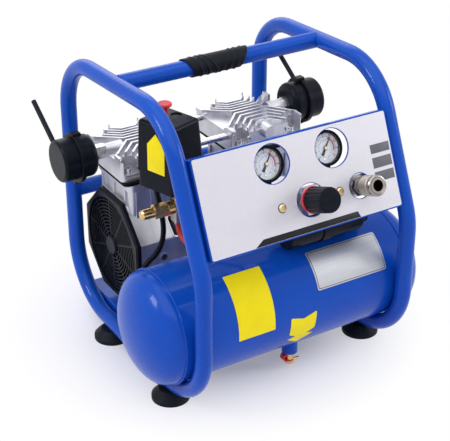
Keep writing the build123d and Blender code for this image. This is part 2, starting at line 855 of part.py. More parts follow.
# Run capacitor above the tank, in a clip under the panel tray
capacitor_y = tank_y + capacitor_setback
tank_crest_z = tank_z + sqrt(tank_r**2 - capacitor_setback**2)
capacitor_z = tank_crest_z + capacitor_clearance + capacitor_d / 2
capacitor_start = (capacitor_x - capacitor_length / 2, capacitor_y, capacitor_z)
capacitor_plane = Plane(origin=capacitor_start, x_dir=(0, 1, 0), z_dir=(1, 0, 0))
with BuildPart() as run_capacitor:
    with BuildSketch(capacitor_plane):
        Circle(capacitor_d / 2)
    extrude(amount=capacitor_length)
    fillet(run_capacitor.edges().filter_by(GeomType.CIRCLE), capacitor_edge)
    with BuildSketch(capacitor_plane.offset(capacitor_length)):
        Circle(capacitor_cap_d / 2)
    extrude(amount=capacitor_cap_length)
    fillet(run_capacitor.edges().filter_by(GeomType.CIRCLE).sort_by(Axis.X)[-1], capacitor_cap_edge)
save(run_capacitor, "run_capacitor")

clip_in = capacitor_d / 2 + grip_clearance
clip_row = -panel_height / 2 - clip_sheet / 2 - seam_gap
clip_front = panel_plane.from_local_coords((capacitor_x, clip_row, -panel_depth / 2))
clip_rear = panel_plane.from_local_coords((capacitor_x, clip_row, -panel_depth - clip_sheet))
with BuildPart() as capacitor_clip:
    with BuildSketch(capacitor_plane.offset(capacitor_length / 2 - clip_width / 2)):
        with BuildLine():
            Polyline(
                (clip_front.Y - capacitor_y, clip_front.Z - capacitor_z),
                (clip_rear.Y - capacitor_y, clip_rear.Z - capacitor_z),
                (-0.8 * clip_in, 0.4 * clip_in),
            )
        trace(line_width=clip_sheet)
        Circle(clip_in + clip_sheet)
        Circle(clip_in, mode=Mode.SUBTRACT)
    extrude(amount=clip_width)
save(capacitor_clip, "capacitor_clip")

# Riser from the tank to the cross block under the pressure switch
with BuildPart() as tank_riser:
    with BuildLine() as riser_path:
        FilletPolyline(riser_foot, riser_knee, (riser_x, riser_y, block_z), radius=riser_bend)
    with BuildSketch(Plane(origin=riser_path.line @ 0, z_dir=riser_path.line % 0)):
        Circle(riser_d / 2)
        Circle(riser_bore_d / 2, mode=Mode.SUBTRACT)
    sweep()
save(tank_riser, "tank_riser")

port_z = block_z + block_height / 2
block_x = riser_x + block_side / 4 - block_left_reach / 2
with BuildPart() as cross_block:
    with BuildSketch(Plane(origin=(block_x, riser_y, block_z))):
        RectangleRounded(block_left_reach + block_side / 2, block_side, cross_corner)
    extrude(amount=block_height)
    chamfer(cross_block.faces().sort_by(Axis.Z)[-1].edges(), cross_chamfer)
save(cross_block, "cross_block")

# Safety valve pointing left out of the cross block
valve_x = riser_x - block_left_reach
valve_plane = Plane(origin=(valve_x, riser_y, port_z), x_dir=(0, 1, 0), z_dir=(-1, 0, 0))
with BuildPart() as safety_valve_body:
    with BuildSketch(valve_plane):
        Circle(valve_hex / 2 + 1)
    extrude(amount=valve_nut_length)
    with BuildSketch(valve_plane.offset(valve_nut_length)):
        RegularPolygon(valve_hex / 2, 6, major_radius=False)
    extrude(amount=valve_hex_length)
    with BuildSketch(valve_plane.offset(valve_nut_length + valve_hex_length)):
        Circle(valve_neck_d / 2)
    extrude(amount=valve_cap_length / 2)
save(safety_valve_body, "safety_valve_body")

cap_start = valve_nut_length + valve_hex_length + slide_gap
with BuildPart() as safety_valve_cap:
    with BuildSketch(valve_plane.offset(cap_start)):
        Circle(valve_cap_d / 2)
    extrude(amount=valve_cap_length)
    chamfer(safety_valve_cap.edges().filter_by(GeomType.CIRCLE).sort_by(Axis.X)[0], valve_cap_chamfer)
    with BuildSketch(valve_plane.offset(cap_start)):
        Circle(valve_neck_d / 2 + slide_gap)
    extrude(amount=valve_cap_length / 2 + slide_gap, mode=Mode.SUBTRACT)
save(safety_valve_cap, "safety_valve_cap")

# Pressure switch: collar and base, tapered cover, red pull knob
switch_z = block_z + block_height
base_z = switch_z + switch_collar_height
cover_z = base_z + switch_base_height
cover_top = cover_z + switch_cover_height
switch_middle = (riser_x - switch_left_shift, riser_y + switch_rear_shift, 0)
switch_plane = Plane(origin=switch_middle).rotated((0, 0, switch_turn))
collar_plane = Plane(origin=(block_x, riser_y, switch_z))
gland_local = (-switch_width / 8, switch_depth / 3)
knob_local = (-switch_knob_shift, 0)
with BuildPart() as pressure_switch_base:
    with BuildSketch(collar_plane):
        Circle(switch_collar_d / 2)
    extrude(amount=switch_collar_height)
    with BuildSketch(switch_plane.offset(base_z)):
        RectangleRounded(switch_width, switch_depth, switch_corner)
    extrude(amount=switch_base_height)
    with BuildSketch(switch_plane.offset(base_z)):
        with Locations(gland_local):
            Circle(gland_d / 2)
    extrude(amount=-gland_length, taper=8)
save(pressure_switch_base, "pressure_switch_base")

crown_width = switch_width - 2 * switch_taper
with BuildPart() as pressure_switch_cover:
    with BuildSketch(switch_plane.offset(cover_z)):
        RectangleRounded(switch_width + 2 * switch_lip, switch_depth + 2 * switch_lip, switch_corner)
    with BuildSketch(switch_plane.offset(cover_top)):
        with Locations((-switch_lean, 0)):
            RectangleRounded(crown_width, crown_width + switch_depth - switch_width, switch_corner)
    loft()
    fillet(pressure_switch_cover.faces().sort_by(Axis.Z)[-1].edges(), switch_dome)
    with BuildSketch(switch_plane.offset(cover_z)):
        Rectangle(switch_width - 5 * switch_wall, switch_depth - 5 * switch_wall)
    extrude(amount=switch_cover_height - 2 * switch_wall, mode=Mode.SUBTRACT)
    with BuildSketch(switch_plane.offset(cover_top)):
        with Locations(knob_local):
            Circle(switch_stem_d / 2 + slide_gap)
    extrude(amount=-4 * switch_wall, mode=Mode.SUBTRACT)
    with BuildSketch(switch_plane.offset(cover_top)):
        with Locations((switch_width / 5, 0)):
            Circle(switch_width / 8)
    extrude(amount=-1.5, mode=Mode.SUBTRACT)
save(pressure_switch_cover, "pressure_switch_cover")

knob_under = cover_top + switch_knob_rise - switch_knob_cap
with BuildPart() as switch_knob:
    with BuildSketch(switch_plane.offset(cover_top - 4 * switch_wall)):
        with Locations(knob_local):
            Circle(switch_stem_d / 2)
    extrude(amount=switch_knob_rise - switch_knob_cap + 4 * switch_wall)
    with BuildSketch(switch_plane.offset(knob_under)):
        with Locations(knob_local):
            Circle(switch_stem_d / 2)
    with BuildSketch(switch_plane.offset(knob_under + switch_knob_cap / 2)):
        with Locations(knob_local):
            Circle(switch_knob_d / 2)
    loft()
    with BuildSketch(switch_plane.offset(knob_under + switch_knob_cap / 2)):
        with Locations(knob_local):
            Circle(switch_knob_d / 2)
    extrude(amount=switch_knob_cap / 2)
    fillet(switch_knob.edges().filter_by(GeomType.CIRCLE).sort_by(Axis.Z)[-1], switch_knob_cap / 4)
save(switch_knob, "switch_knob")

# Motor barrel, stator and the turning shaft with rotor and cranks
with BuildPart() as motor_barrel:
    with BuildSketch(cross_plane(-barrel_half + seam_gap)):
        Circle(barrel_d / 2)
        Circle(barrel_d / 2 - barrel_wall, mode=Mode.SUBTRACT)
    extrude(amount=2 * (barrel_half - seam_gap))
save(motor_barrel, "motor_barrel")

with BuildPart() as stator:
    with BuildSketch(cross_plane(-stator_length / 2)):
        Circle(barrel_d / 2 - barrel_wall - seam_gap)
        Circle(stator_bore_d / 2, mode=Mode.SUBTRACT)
    extrude(amount=stator_length)
save(stator, "stator")

rotor_r = stator_bore_d / 2 - rotor_gap
fan_inner = bell_outer + bell_wall
shaft_half = fan_inner + fan_depth
with BuildPart() as rotor_shaft:
    with BuildSketch(cross_plane(-shaft_half)):
        Circle(shaft_d / 2)
    extrude(amount=2 * shaft_half)
    with BuildSketch(cross_plane(-rotor_length / 2)):
        Circle(rotor_r)
    extrude(amount=rotor_length)
    for side in sides.values():
        with BuildSketch(cross_plane(side * cylinder_x - crank_width / 2)):
            with Locations((side * crank_throw, 0)):
                Circle(crank_d / 2)
        extrude(amount=crank_width)
save(rotor_shaft, "rotor_shaft")

bearing_in = bell_outer - bell_wall - bearing_width
with BuildPart() as shaft_bearings:
    for side in sides.values():
        start = min(side * bearing_in, side * (bearing_in + bearing_width))
        with BuildSketch(cross_plane(start)):
            Circle(bearing_d / 2)
            Circle(shaft_d / 2 + running_gap, mode=Mode.SUBTRACT)
        extrude(amount=bearing_width)
save(shaft_bearings, "shaft_bearings")


def octagon(flat):
    """The pump's octagonal outline across the shaft, a flat on top."""
    RegularPolygon(flat / 2, 8, major_radius=False, rotation=22.5)


bell_cavity_r = octagon_r - 2 * bell_wall
piston_bore_r = piston_d / 2 + piston_gap
slope_middle = octagon_r * cos(pi / 4)


def end_bell(side):
    """The octagonal casting between motor barrel and fan shroud, with vent slots on its slopes."""
    inner = side * barrel_half
    outward = Plane(origin=(inner, shaft_y, shaft_z), x_dir=(0, 1, 0), z_dir=(side, 0, 0))
    length = bell_outer - barrel_half
    with BuildPart() as piece:
        with BuildSketch(outward):
            octagon(octagon_flat)
        extrude(amount=length)
        fillet(piece.edges().filter_by(Axis.X), octagon_edge)
        with BuildSketch(outward):
            Circle(bell_cavity_r)
        extrude(amount=length - bell_wall, mode=Mode.SUBTRACT)
        with BuildSketch(outward.offset(length - bell_wall)):
            Circle(bearing_d / 2 + bell_wall)
        extrude(amount=-bearing_width)
        with BuildSketch(outward.offset(length - bell_wall)):
            Circle(bearing_d / 2 + seam_gap)
        extrude(amount=-bearing_width, mode=Mode.SUBTRACT)
        with BuildSketch(outward.offset(length)):
            Circle(shaft_d / 2 + slide_gap)
        extrude(amount=-bell_wall, mode=Mode.SUBTRACT)
        with Locations((side * cylinder_x, shaft_y, shaft_z + octagon_r)):
            Cylinder(piston_bore_r, octagon_flat / 3, mode=Mode.SUBTRACT)
        for front in (-1, 1):
            drop = vent_slot_drop / sqrt(2)
            slope_y = shaft_y + front * (slope_middle + drop)
            slope_plane = Plane(
                origin=(side * vent_slot_x, slope_y, shaft_z + slope_middle - drop),
                x_dir=(1, 0, 0),
                z_dir=(0, front, 1),
            )
            with BuildSketch(slope_plane):
                SlotOverall(vent_slot_length, vent_slot_width + 2 * vent_rim, rotation=90)
            extrude(amount=vent_rim / 2)
            with BuildSketch(slope_plane.offset(vent_rim)):
                SlotOverall(vent_slot_length - 2 * vent_rim, vent_slot_width, rotation=90)
            extrude(amount=-4 * bell_wall, mode=Mode.SUBTRACT)
            port_plane = Plane(
                origin=(side * port_hole_x, shaft_y + front * octagon_r, port_hole_height),
                x_dir=(1, 0, 0),
                z_dir=(0, front, 0),
            )
            with BuildSketch(port_plane):
                Circle(port_hole_d / 2 + vent_rim)
            extrude(amount=vent_rim / 2)
            with BuildSketch(port_plane.offset(vent_rim)):
                Circle(port_hole_d / 2)
            extrude(amount=-3 * bell_wall, mode=Mode.SUBTRACT)
    return piece


save_pair(end_bell, "end_bells")

shroud_bore_r = octagon_r - bell_wall
block_low = shaft_z + slope_middle


def crankcase(side):
    """Fan shroud and cylinder block in one casting; the block saddles the end bell."""
    inner = side * (bell_outer + seam_gap)
    outward = Plane(origin=(inner, shaft_y, shaft_z), x_dir=(0, 1, 0), z_dir=(side, 0, 0))
    middle = Plane.XY.move(Location((side * cylinder_x, shaft_y, 0)))
    core_width = block_width - 2 * block_rib
    core_depth = block_depth - 2 * block_rib
    with BuildPart() as piece:
        with BuildSketch(middle.offset(block_low)):
            RectangleRounded(block_width, block_depth, block_corner)
        extrude(amount=block_top - block_low)
        with BuildSketch(middle.offset(block_top - 2 * block_corner)):
            RectangleRounded(block_width, block_depth, block_corner)
            RectangleRounded(core_width, core_depth, block_corner, mode=Mode.SUBTRACT)
        extrude(amount=block_low - block_top + 2 * block_corner, mode=Mode.SUBTRACT)
        with BuildSketch(middle.offset(block_low)):
            for front in (-1, 1):
                with Locations((0, front * (block_depth / 2 - block_rib / 2))):
                    with GridLocations(block_width / 4, 1, 4, 1):
                        Rectangle(block_rib * 2, block_rib)
            for end in (-1, 1):
                with Locations((end * (block_width / 2 - block_rib / 2), 0)):
                    with GridLocations(1, block_depth / 3, 1, 3):
                        Rectangle(block_rib, block_rib * 2)
        extrude(amount=block_top - block_low)
        with BuildSketch(outward):
            octagon(octagon_flat + 2 * seam_gap)
        extrude(amount=-bell_outer, mode=Mode.SUBTRACT)
        with BuildSketch(outward):
            octagon(octagon_flat)
        extrude(amount=shroud_outer - bell_outer - seam_gap)
        with BuildSketch(outward):
            Circle(shroud_bore_r)
        extrude(amount=shroud_outer - bell_outer - seam_gap, mode=Mode.SUBTRACT)
        with Locations((side * cylinder_x, shaft_y, block_top)):
            Cylinder(piston_bore_r, 2 * (block_top - shaft_z - octagon_r) + 2, mode=Mode.SUBTRACT)
    return piece


for name, side in sides.items():
    save(crankcase(side), f"{name}_crankcase")

# Fans on the shaft ends
fan_r = shroud_bore_r - fan_tip_gap


def cooling_fan(side):
    """A hub with pitched flat blades in front of a back plate."""
    middle_x = side * (fan_inner + fan_depth / 2)
    hub_r = fan_hub_d / 2
    blade_span = fan_r - hub_r + fan_blade_root
    blade_width = fan_depth / cos(radians(fan_pitch))
    with BuildPart() as piece:
        with BuildSketch(cross_plane(middle_x - fan_depth / 2)):
            Circle(hub_r)
        extrude(amount=fan_depth)
        back_x = side * (fan_inner + fan_back_sheet / 2) - fan_back_sheet / 2
        with BuildSketch(cross_plane(back_x)):
            Circle(fan_r + fan_blade_root)
        extrude(amount=fan_back_sheet)
        blade_plane = cross_plane(middle_x)
        with Locations(blade_plane):
            with PolarLocations(hub_r - fan_blade_root + blade_span / 2, fan_blades):
                Box(blade_span, blade_width, fan_blade_sheet, rotation=(90 - fan_pitch, 0, 0))
        with BuildSketch(cross_plane(middle_x - fan_depth / 2)):
            Circle(fan_r)
        extrude(amount=fan_depth, mode=Mode.INTERSECT)
        with BuildSketch(cross_plane(middle_x - fan_depth / 2)):
            Circle(shaft_d / 2 + seam_gap)
        extrude(amount=fan_depth, mode=Mode.SUBTRACT)
    return piece


save_pair(cooling_fan, "cooling_fans")


def fan_guard(side):
    """An octagonal guard: rim, rings and spokes round a domed hub."""
    back = side * (shroud_outer + seam_gap)
    outward = Plane(origin=(back, shaft_y, shaft_z), x_dir=(0, 1, 0), z_dir=(side, 0, 0))
    depth = guard_outer - shroud_outer - seam_gap
    first_ring = guard_hub_d / 2 + guard_ring_pitch
    spoke_span = shroud_bore_r - guard_hub_d / 2
    spoke_middle = (shroud_bore_r + guard_hub_d / 2) / 2 - guard_rim / 4
    with BuildPart() as piece:
        with BuildSketch(outward):
            octagon(octagon_flat)
            Circle(shroud_bore_r - guard_rim / 2, mode=Mode.SUBTRACT)
        extrude(amount=depth)
        outer_face = piece.faces().filter_by(Axis.X).sort_by(Axis.X)[0 if side < 0 else -1]
        chamfer(outer_face.outer_wire().edges(), depth / 3)
        with BuildSketch(outward.offset(depth - guard_ring_depth - guard_ring_inset)):
            for i in reversed(range(guard_ring_count)):
                radius = first_ring + i * guard_ring_pitch
                Circle(radius + guard_ring_width / 2)
                Circle(radius - guard_ring_width / 2, mode=Mode.SUBTRACT)
            with PolarLocations(spoke_middle, guard_spoke_count, guard_spoke_turn):
                Rectangle(spoke_span, guard_spoke_width)
            Circle(guard_hub_d / 2)
        extrude(amount=guard_ring_depth)
        with BuildSketch(outward.offset(depth - guard_ring_inset)):
            Circle(guard_hub_d / 2)
        extrude(amount=guard_hub_bulge, taper=35)
    return piece


save_pair(fan_guard, "fan_guards")

# Pistons: a disc on a rod whose ring clears the crank's whole sweep
rod_ring_in = crank_d / 2 + hypot(crank_throw, 2 * crank_throw) + slide_gap
rod_ring_out = rod_ring_in + rod_ring_wall
piston_z = (block_top + shaft_z + octagon_r) / 2


def piston(side):
    """A wobble piston in one piece with its connecting rod."""
    with BuildPart() as piece:
        with BuildSketch(cross_plane(side * cylinder_x - rod_width / 4)):
            Circle(rod_ring_out)
            with Locations((0, (piston_z - shaft_z) / 2)):
                Rectangle(rod_width, piston_z - shaft_z)
            Circle(rod_ring_in, mode=Mode.SUBTRACT)
        extrude(amount=rod_width / 2)
        with BuildSketch(Plane.XY.offset(piston_z).move(Location((side * cylinder_x, shaft_y, 0)))):
            Circle(piston_d / 2)
        extrude(amount=piston_height)
    return piece


for name, side in sides.items():
    save(piston(side), f"{name}_piston")

# Gaskets between blocks and heads
with BuildPart() as head_gaskets:
    for side in sides.values():
        with BuildSketch(Plane.XY.offset(block_top).move(Location((side * cylinder_x, shaft_y, 0)))):
            RectangleRounded(block_width + gasket_margin, block_depth + gasket_margin, block_corner)
            Circle(gasket_hole_d / 2, mode=Mode.SUBTRACT)
        extrude(amount=gasket_sheet)
save(head_gaskets, "head_gaskets")

bolt_x = head_width / 2 - head_pocket / 2 - head_tab
bolt_y = head_depth / 2 - head_pocket / 2
pocket_floor = head_z + head_flange
fin_floor = head_z + head_valley
head_face = head_front + head_lip
head_rise = head_z - shaft_z


def cylinder_head(side):
    """A finned head: lipped flange, nested fins splayed to the corners, bolt pockets, ports."""
    middle = Plane.XY.move(Location((side * cylinder_x, shaft_y, 0)))
    half_w = head_width / 2
    half_d = head_depth / 2 - head_lip
    with BuildPart() as piece:
        with BuildSketch(middle.offset(head_z)):
            RectangleRounded(head_width, head_depth, head_corner)
        extrude(amount=head_flange / 2)
        with BuildSketch(middle.offset(head_z)):
            RectangleRounded(head_width, 2 * half_d, head_corner)
        extrude(amount=head_valley)
        for i in range(fin_count):
            inset = (i + 0.5) * fin_pitch
            level = fin_level + (fin_count - 1 - i) * fin_pitch * tan(pi / 8)
            splay = half_d - inset
            with BuildSketch(middle.offset(fin_floor)):
                for front in (-1, 1):
                    with BuildLine():
                        Polyline(
                            (-level - splay, front * half_d),
                            (-level, front * inset),
                            (level, front * inset),
                            (level + splay, front * half_d),
                        )
                    trace(line_width=fin_sheet)
            extrude(amount=head_crown - head_valley)
        with BuildSketch(cross_plane(side * cylinder_x - half_w)):
            with BuildLine():
                Polyline(
                    (-half_d, head_rise + head_eave),
                    (-head_ridge, head_rise + head_crown),
                    (head_ridge, head_rise + head_crown),
                    (half_d, head_rise + head_eave),
                    (half_d, head_rise + 2 * head_crown),
                    (-half_d, head_rise + 2 * head_crown),
                    close=True,
                )
            make_face()
        extrude(amount=head_width, mode=Mode.SUBTRACT)
        with BuildSketch(middle.offset(pocket_floor)):
            with GridLocations(2 * bolt_x, 2 * bolt_y, 2, 2):
                Rectangle(head_pocket, head_pocket)
        extrude(amount=head_crown, mode=Mode.SUBTRACT)
        with BuildSketch(middle.offset(fin_floor)):
            with GridLocations(head_width - head_tab, 2 * bolt_y - 2 * head_tab, 2, 2):
                Rectangle(head_tab, head_pocket - 2 * head_tab)
        extrude(amount=head_tab_top - head_valley)
        with BuildSketch(middle.offset(head_z)):
            Rectangle(2 * head_width, 2 * head_depth)
            RectangleRounded(head_width, head_depth, head_corner, mode=Mode.SUBTRACT)
        extrude(amount=2 * head_crown, mode=Mode.SUBTRACT)
        boss_z = filter_z - head_boss_drop
        boss_plane = Plane(origin=(side * cylinder_x, head_face, boss_z), z_dir=(0, -1, 0))
        with BuildSketch(boss_plane):
            Circle(head_boss_d / 2)
        extrude(amount=head_boss_reach)
        with BuildSketch(boss_plane):
            Circle(head_boss_d / 2)
        extrude(amount=-half_d / 2)
        for front in (-1, 1):
            socket = Plane(
                origin=(side * head_inner, shaft_y + front * crossover_offset, head_z + crossover_rise),
                x_dir=(0, 1, 0),
                z_dir=(side, 0, 0),
            )
            with BuildSketch(socket):
                RectangleRounded(2 * crossover_d, 2 * crossover_d, crossover_d / 4)
            extrude(amount=crossover_socket + slide_gap)
            with BuildSketch(socket):
                Circle(crossover_d / 2 + bolt_clearance)
            extrude(amount=crossover_socket - 1, mode=Mode.SUBTRACT)
        port_middle = (side * head_outer, shaft_y + side * filter_shift, filter_z)
        port = Plane(origin=port_middle, x_dir=(0, 1, 0), z_dir=(-side, 0, 0))
        with BuildSketch(port):
            Circle(filter_fitting_hex / 2)
        extrude(amount=head_pocket + head_tab)
        with BuildSketch(port):
            Circle(thread_d / 2 + bolt_clearance)
        extrude(amount=head_pocket / 2, mode=Mode.SUBTRACT)
        with BuildSketch(middle.offset(head_z)):
            with GridLocations(2 * bolt_x, 2 * bolt_y, 2, 2):
                Circle(head_bolt_d / 2 + bolt_clearance)
        extrude(amount=head_flange, mode=Mode.SUBTRACT)
    return piece


for name, side in sides.items():
    save(cylinder_head(side), f"{name}_head")

with BuildPart() as head_bolts:
    for side in sides.values():
        for dx in (-bolt_x, bolt_x):
            for dy in (-bolt_y, bolt_y):
                spot = Location((side * cylinder_x + dx, shaft_y + dy, 0))
                with BuildSketch(Plane.XY.offset(head_z).move(spot)):
                    Circle(head_bolt_d / 2)
                extrude(amount=head_flange)
                with BuildSketch(Plane.XY.offset(pocket_floor).move(spot)):
                    Circle(head_bolt_head_d / 2)
                    RegularPolygon(head_bolt_d / 2.2, 6, mode=Mode.SUBTRACT)
                extrude(amount=head_bolt_head_height)
                with BuildSketch(Plane.XY.offset(pocket_floor).move(spot)):
                    Circle(head_bolt_d / 2)
                extrude(amount=head_bolt_head_height / 2)
        for dx in (-face_bolt_spacing / 2, face_bolt_spacing / 2):
            face_spot = (side * cylinder_x + dx, head_face, filter_z - face_bolt_drop)
            with BuildSketch(Plane(origin=face_spot, x_dir=(1, 0, 0), z_dir=(0, -1, 0))):
                Circle(face_bolt_d / 2)
                RegularPolygon(face_bolt_d / 4, 6, mode=Mode.SUBTRACT)
            extrude(amount=face_bolt_reach)
save(head_bolts, "head_bolts")

crossover_half = head_inner + crossover_socket - 1 - bolt_clearance
with BuildPart() as crossover_pipes:
    for front in (-1, 1):
        pipe_plane = Plane(
            origin=(-crossover_half, shaft_y + front * crossover_offset, head_z + crossover_rise),
            x_dir=(0, 1, 0),
            z_dir=(1, 0, 0),
        )
        with BuildSketch(pipe_plane):
            Circle(crossover_d / 2)
            Circle(crossover_d / 2 - tube_wall, mode=Mode.SUBTRACT)
        extrude(amount=2 * crossover_half)
save(crossover_pipes, "crossover_pipes")

# Intake filters: hex fitting, base can with band, cover and inlet tube
fitting_reach = {-1: left_fitting_reach, 1: right_fitting_reach}
inlet_inset = {-1: left_inlet_inset, 1: right_inlet_inset}


def filter_plane(side, along):
    """A plane across a filter, facing away from the pump, a length outside the head's end."""
    return Plane(
        origin=(side * (head_outer + along), shaft_y + side * filter_shift, filter_z),
        x_dir=(0, 1, 0),
        z_dir=(side, 0, 0),
    )


def band_along(side):
    """Where a filter's clamp band starts, outside the head's end."""
    return fitting_reach[side] + filter_base_length


def cover_along(side):
    """Where a filter's cover starts, outside the head's end."""
    return band_along(side) + filter_band_width


with BuildPart() as filter_fittings:
    for side in sides.values():
        with BuildSketch(filter_plane(side, 0)):
            RegularPolygon(filter_fitting_hex / 2, 6, major_radius=False)
        extrude(amount=fitting_reach[side])
        with BuildSketch(filter_plane(side, 0)):
            Circle(thread_d / 2)
        extrude(amount=-head_pocket / 2 + 1)
save(filter_fittings, "filter_fittings")


def rims(piece, side):
    """A piece's round edges, in order from the machine's middle outwards."""
    return piece.edges().filter_by(GeomType.CIRCLE).sort_by(Axis((0, 0, 0), (side, 0, 0)))


def filter_base(side):
    """The inner can, rounded towards the head, with its clamp band and two latches."""
    with BuildPart() as piece:
        with BuildSketch(filter_plane(side, fitting_reach[side])):
            Circle(filter_d / 2)
        extrude(amount=filter_base_length)
        fillet(rims(piece, side)[0], 2 * filter_edge)
        with BuildSketch(filter_plane(side, band_along(side))):
            Circle(filter_band_d / 2)
        extrude(amount=filter_band_width)
        fillet(rims(piece, side)[-1], filter_edge / 4)
        with BuildSketch(filter_plane(side, band_along(side) - filter_latch_reach)):
            with Locations((0, filter_band_d / 2), (0, -filter_band_d / 2)):
                RectangleRounded(filter_latch_width, filter_latch_height, filter_latch_height / 4)
        extrude(amount=filter_latch_reach + filter_band_width)
        with BuildSketch(filter_plane(side, cover_along(side))):
            Circle(filter_d / 2 - filter_wall)
        extrude(amount=-filter_base_length, mode=Mode.SUBTRACT)
    return piece


def filter_cover(side):
    """The outer cap with its rounded rim, drilled for the inlet tube."""
    with BuildPart() as piece:
        with BuildSketch(filter_plane(side, cover_along(side))):
            Circle(filter_d / 2)
        extrude(amount=filter_cover_length)
        fillet(rims(piece, side)[-1], filter_edge)
        with BuildSketch(filter_plane(side, cover_along(side))):
            Circle(filter_d / 2 - filter_wall)
        extrude(amount=filter_cover_length - filter_wall, mode=Mode.SUBTRACT)
        with BuildSketch(inlet_plane(side)):
            Circle(inlet_d / 2 + bolt_clearance)
        extrude(amount=filter_d, mode=Mode.SUBTRACT)
    return piece


def inlet_plane(side):
    """A plane on the filter axis, facing the way the inlet tube leaves."""
    lift = radians(inlet_lift)
    start = filter_plane(side, cover_along(side) + filter_cover_length - inlet_inset[side]).origin
    return Plane(origin=start, x_dir=(1, 0, 0), z_dir=(0, cos(lift), sin(lift)))


save_pair(filter_base, "filter_bases")
save_pair(filter_cover, "filter_covers")

inlet_root = filter_d / 2 - 2 * filter_wall
with BuildPart() as inlet_tubes:
    for side in sides.values():
        with BuildSketch(inlet_plane(side).offset(inlet_root)):
            Circle(inlet_d / 2)
            Circle(inlet_bore_d / 2, mode=Mode.SUBTRACT)
        extrude(amount=inlet_reach - inlet_root)
save(inlet_tubes, "inlet_tubes")

# Motor base between the hoops' lower runs, and the rubber mounts on it
base_top = bottom_z + tube_r + base_lift
base_y = tank_y + base_front
with BuildPart() as motor_base:
    with BuildSketch(Plane(origin=(0, base_y + base_depth / 2, base_top))):
        Rectangle(2 * inner_x, base_depth)
    extrude(amount=-base_flange)
    with BuildSketch(Plane(origin=(0, base_y + base_depth / 2, base_top - base_sheet))):
        Rectangle(2 * (inner_x - base_sheet), 2 * base_depth)
    extrude(amount=-base_flange, mode=Mode.SUBTRACT)
    fillet(motor_base.edges().filter_by(Axis.Y).group_by(Axis.Z)[-1], base_sheet)
save(motor_base, "motor_base")

mount_z = shaft_z - octagon_r
with BuildPart() as motor_mounts:
    with BuildSketch(Plane.XY.offset(base_top).move(Location((0, shaft_y, 0)))):
        with GridLocations(2 * (bell_outer - mount_d), octagon_r / 2, 2, 2):
            Circle(mount_d / 2)
    extrude(amount=mount_z - base_top)
save(motor_mounts, "motor_mounts")

# Delivery pipe from the left head to the check valve on the tank
check_seat = check_top_z + check_bung_rise
check_plane = Plane.XY.offset(check_seat).move(Location((pipe_x, check_y, 0)))
with BuildPart() as check_valve:
    with BuildSketch(check_plane):
        RegularPolygon(check_valve_hex / 2, 6, major_radius=False)
    extrude(amount=check_valve_height)
    with BuildSketch(check_plane):
        Circle(thread_d / 2 - bolt_clearance)
    extrude(amount=-check_bung_rise)
save(check_valve, "check_valve")

pipe_z = head_z + head_flange + pipe_d / 2
pipe_top = check_seat + check_valve_height
pipe_points = [
    (pipe_x, head_front, pipe_z),
    (pipe_x, check_y, pipe_z),
    (pipe_x, check_y, pipe_top),
]
save(hose(pipe_points, pipe_d), "delivery_pipe")

# Hose from the cross block to the outlet bar
hose_end = panel_plane.from_local_coords((bar_left / 2, control_row, -bar_back))
hose_before = panel_plane.from_local_coords((bar_left / 2, control_row, -2 * bar_back))
hose_points = [
    (hose_x, riser_y, block_z),
    (hose_x, riser_y - 2, block_z - hose_drop),
    (hose_x + 2, riser_y - 40, block_z - hose_drop + 2),
    (hose_x + 43, tank_y - 7, block_z + 16),
    tuple(hose_before),
    tuple(hose_end),
]
save(hose(hose_points, hose_d), "regulator_hose")

# Motor lead from the switch down to the left end bell
gland_point = switch_plane.from_local_coords((*gland_local, base_z - gland_length - slide_gap))
lead_end_y = shaft_y - octagon_r
lead_points = [
    tuple(gland_point),
    (lead_x, tank_y + 88, block_z - 1),
    (lead_x + 4, tank_y + 95, block_z - 36),
    (lead_x - 3, tank_y + 99, block_z - 58),
    (lead_x - 21, tank_y + 102, block_z - 72),
    (lead_x - 32, tank_y + 101, block_z - 90),
    (lead_x - 20, tank_y + 99, block_z - 108),
    (lead_x + 1, tank_y + 99, block_z - 118),
    (lead_x + 20, lead_end_y, block_z - 120),
]
save(hose(lead_points, lead_d), "motor_lead")
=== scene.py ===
# %% [markdown]
# # A small air compressor, dressed in Blender
#
# The solids of this machine come from CAD and are the fixed frame of the lesson. Blender adds what CAD
# leaves out: paint, castings, rubber and glass as node materials, the printed dials, the plates on tank
# and panel, the ribbed grip, the grooved coupler sleeve and the soft cords. Everything is in metres, in
# the same frame as the solids, so nothing has to be fitted: each new piece reads its place from the node
# that carries it.

# %% Load the frame
import json
from math import atan2, cos, pi, radians, sin

import bpy
from mathutils import Matrix, Vector


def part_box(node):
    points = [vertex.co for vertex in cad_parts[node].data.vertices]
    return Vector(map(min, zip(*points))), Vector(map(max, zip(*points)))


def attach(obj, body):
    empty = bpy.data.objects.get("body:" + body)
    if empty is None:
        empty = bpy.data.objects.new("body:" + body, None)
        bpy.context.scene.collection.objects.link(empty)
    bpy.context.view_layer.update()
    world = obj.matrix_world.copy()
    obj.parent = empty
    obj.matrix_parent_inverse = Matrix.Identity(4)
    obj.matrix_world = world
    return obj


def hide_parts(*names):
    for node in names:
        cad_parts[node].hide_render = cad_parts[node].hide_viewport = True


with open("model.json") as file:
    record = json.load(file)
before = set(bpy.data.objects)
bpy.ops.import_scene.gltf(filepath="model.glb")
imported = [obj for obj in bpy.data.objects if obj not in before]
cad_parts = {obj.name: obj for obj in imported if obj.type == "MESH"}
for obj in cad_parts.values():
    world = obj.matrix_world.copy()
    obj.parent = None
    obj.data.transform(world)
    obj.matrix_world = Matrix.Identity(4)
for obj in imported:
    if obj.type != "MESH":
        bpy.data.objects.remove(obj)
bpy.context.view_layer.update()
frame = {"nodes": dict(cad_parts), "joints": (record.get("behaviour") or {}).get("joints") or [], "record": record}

nodes = frame["nodes"]
joints = {joint["name"]: joint for joint in frame["joints"]}
MM = 0.001

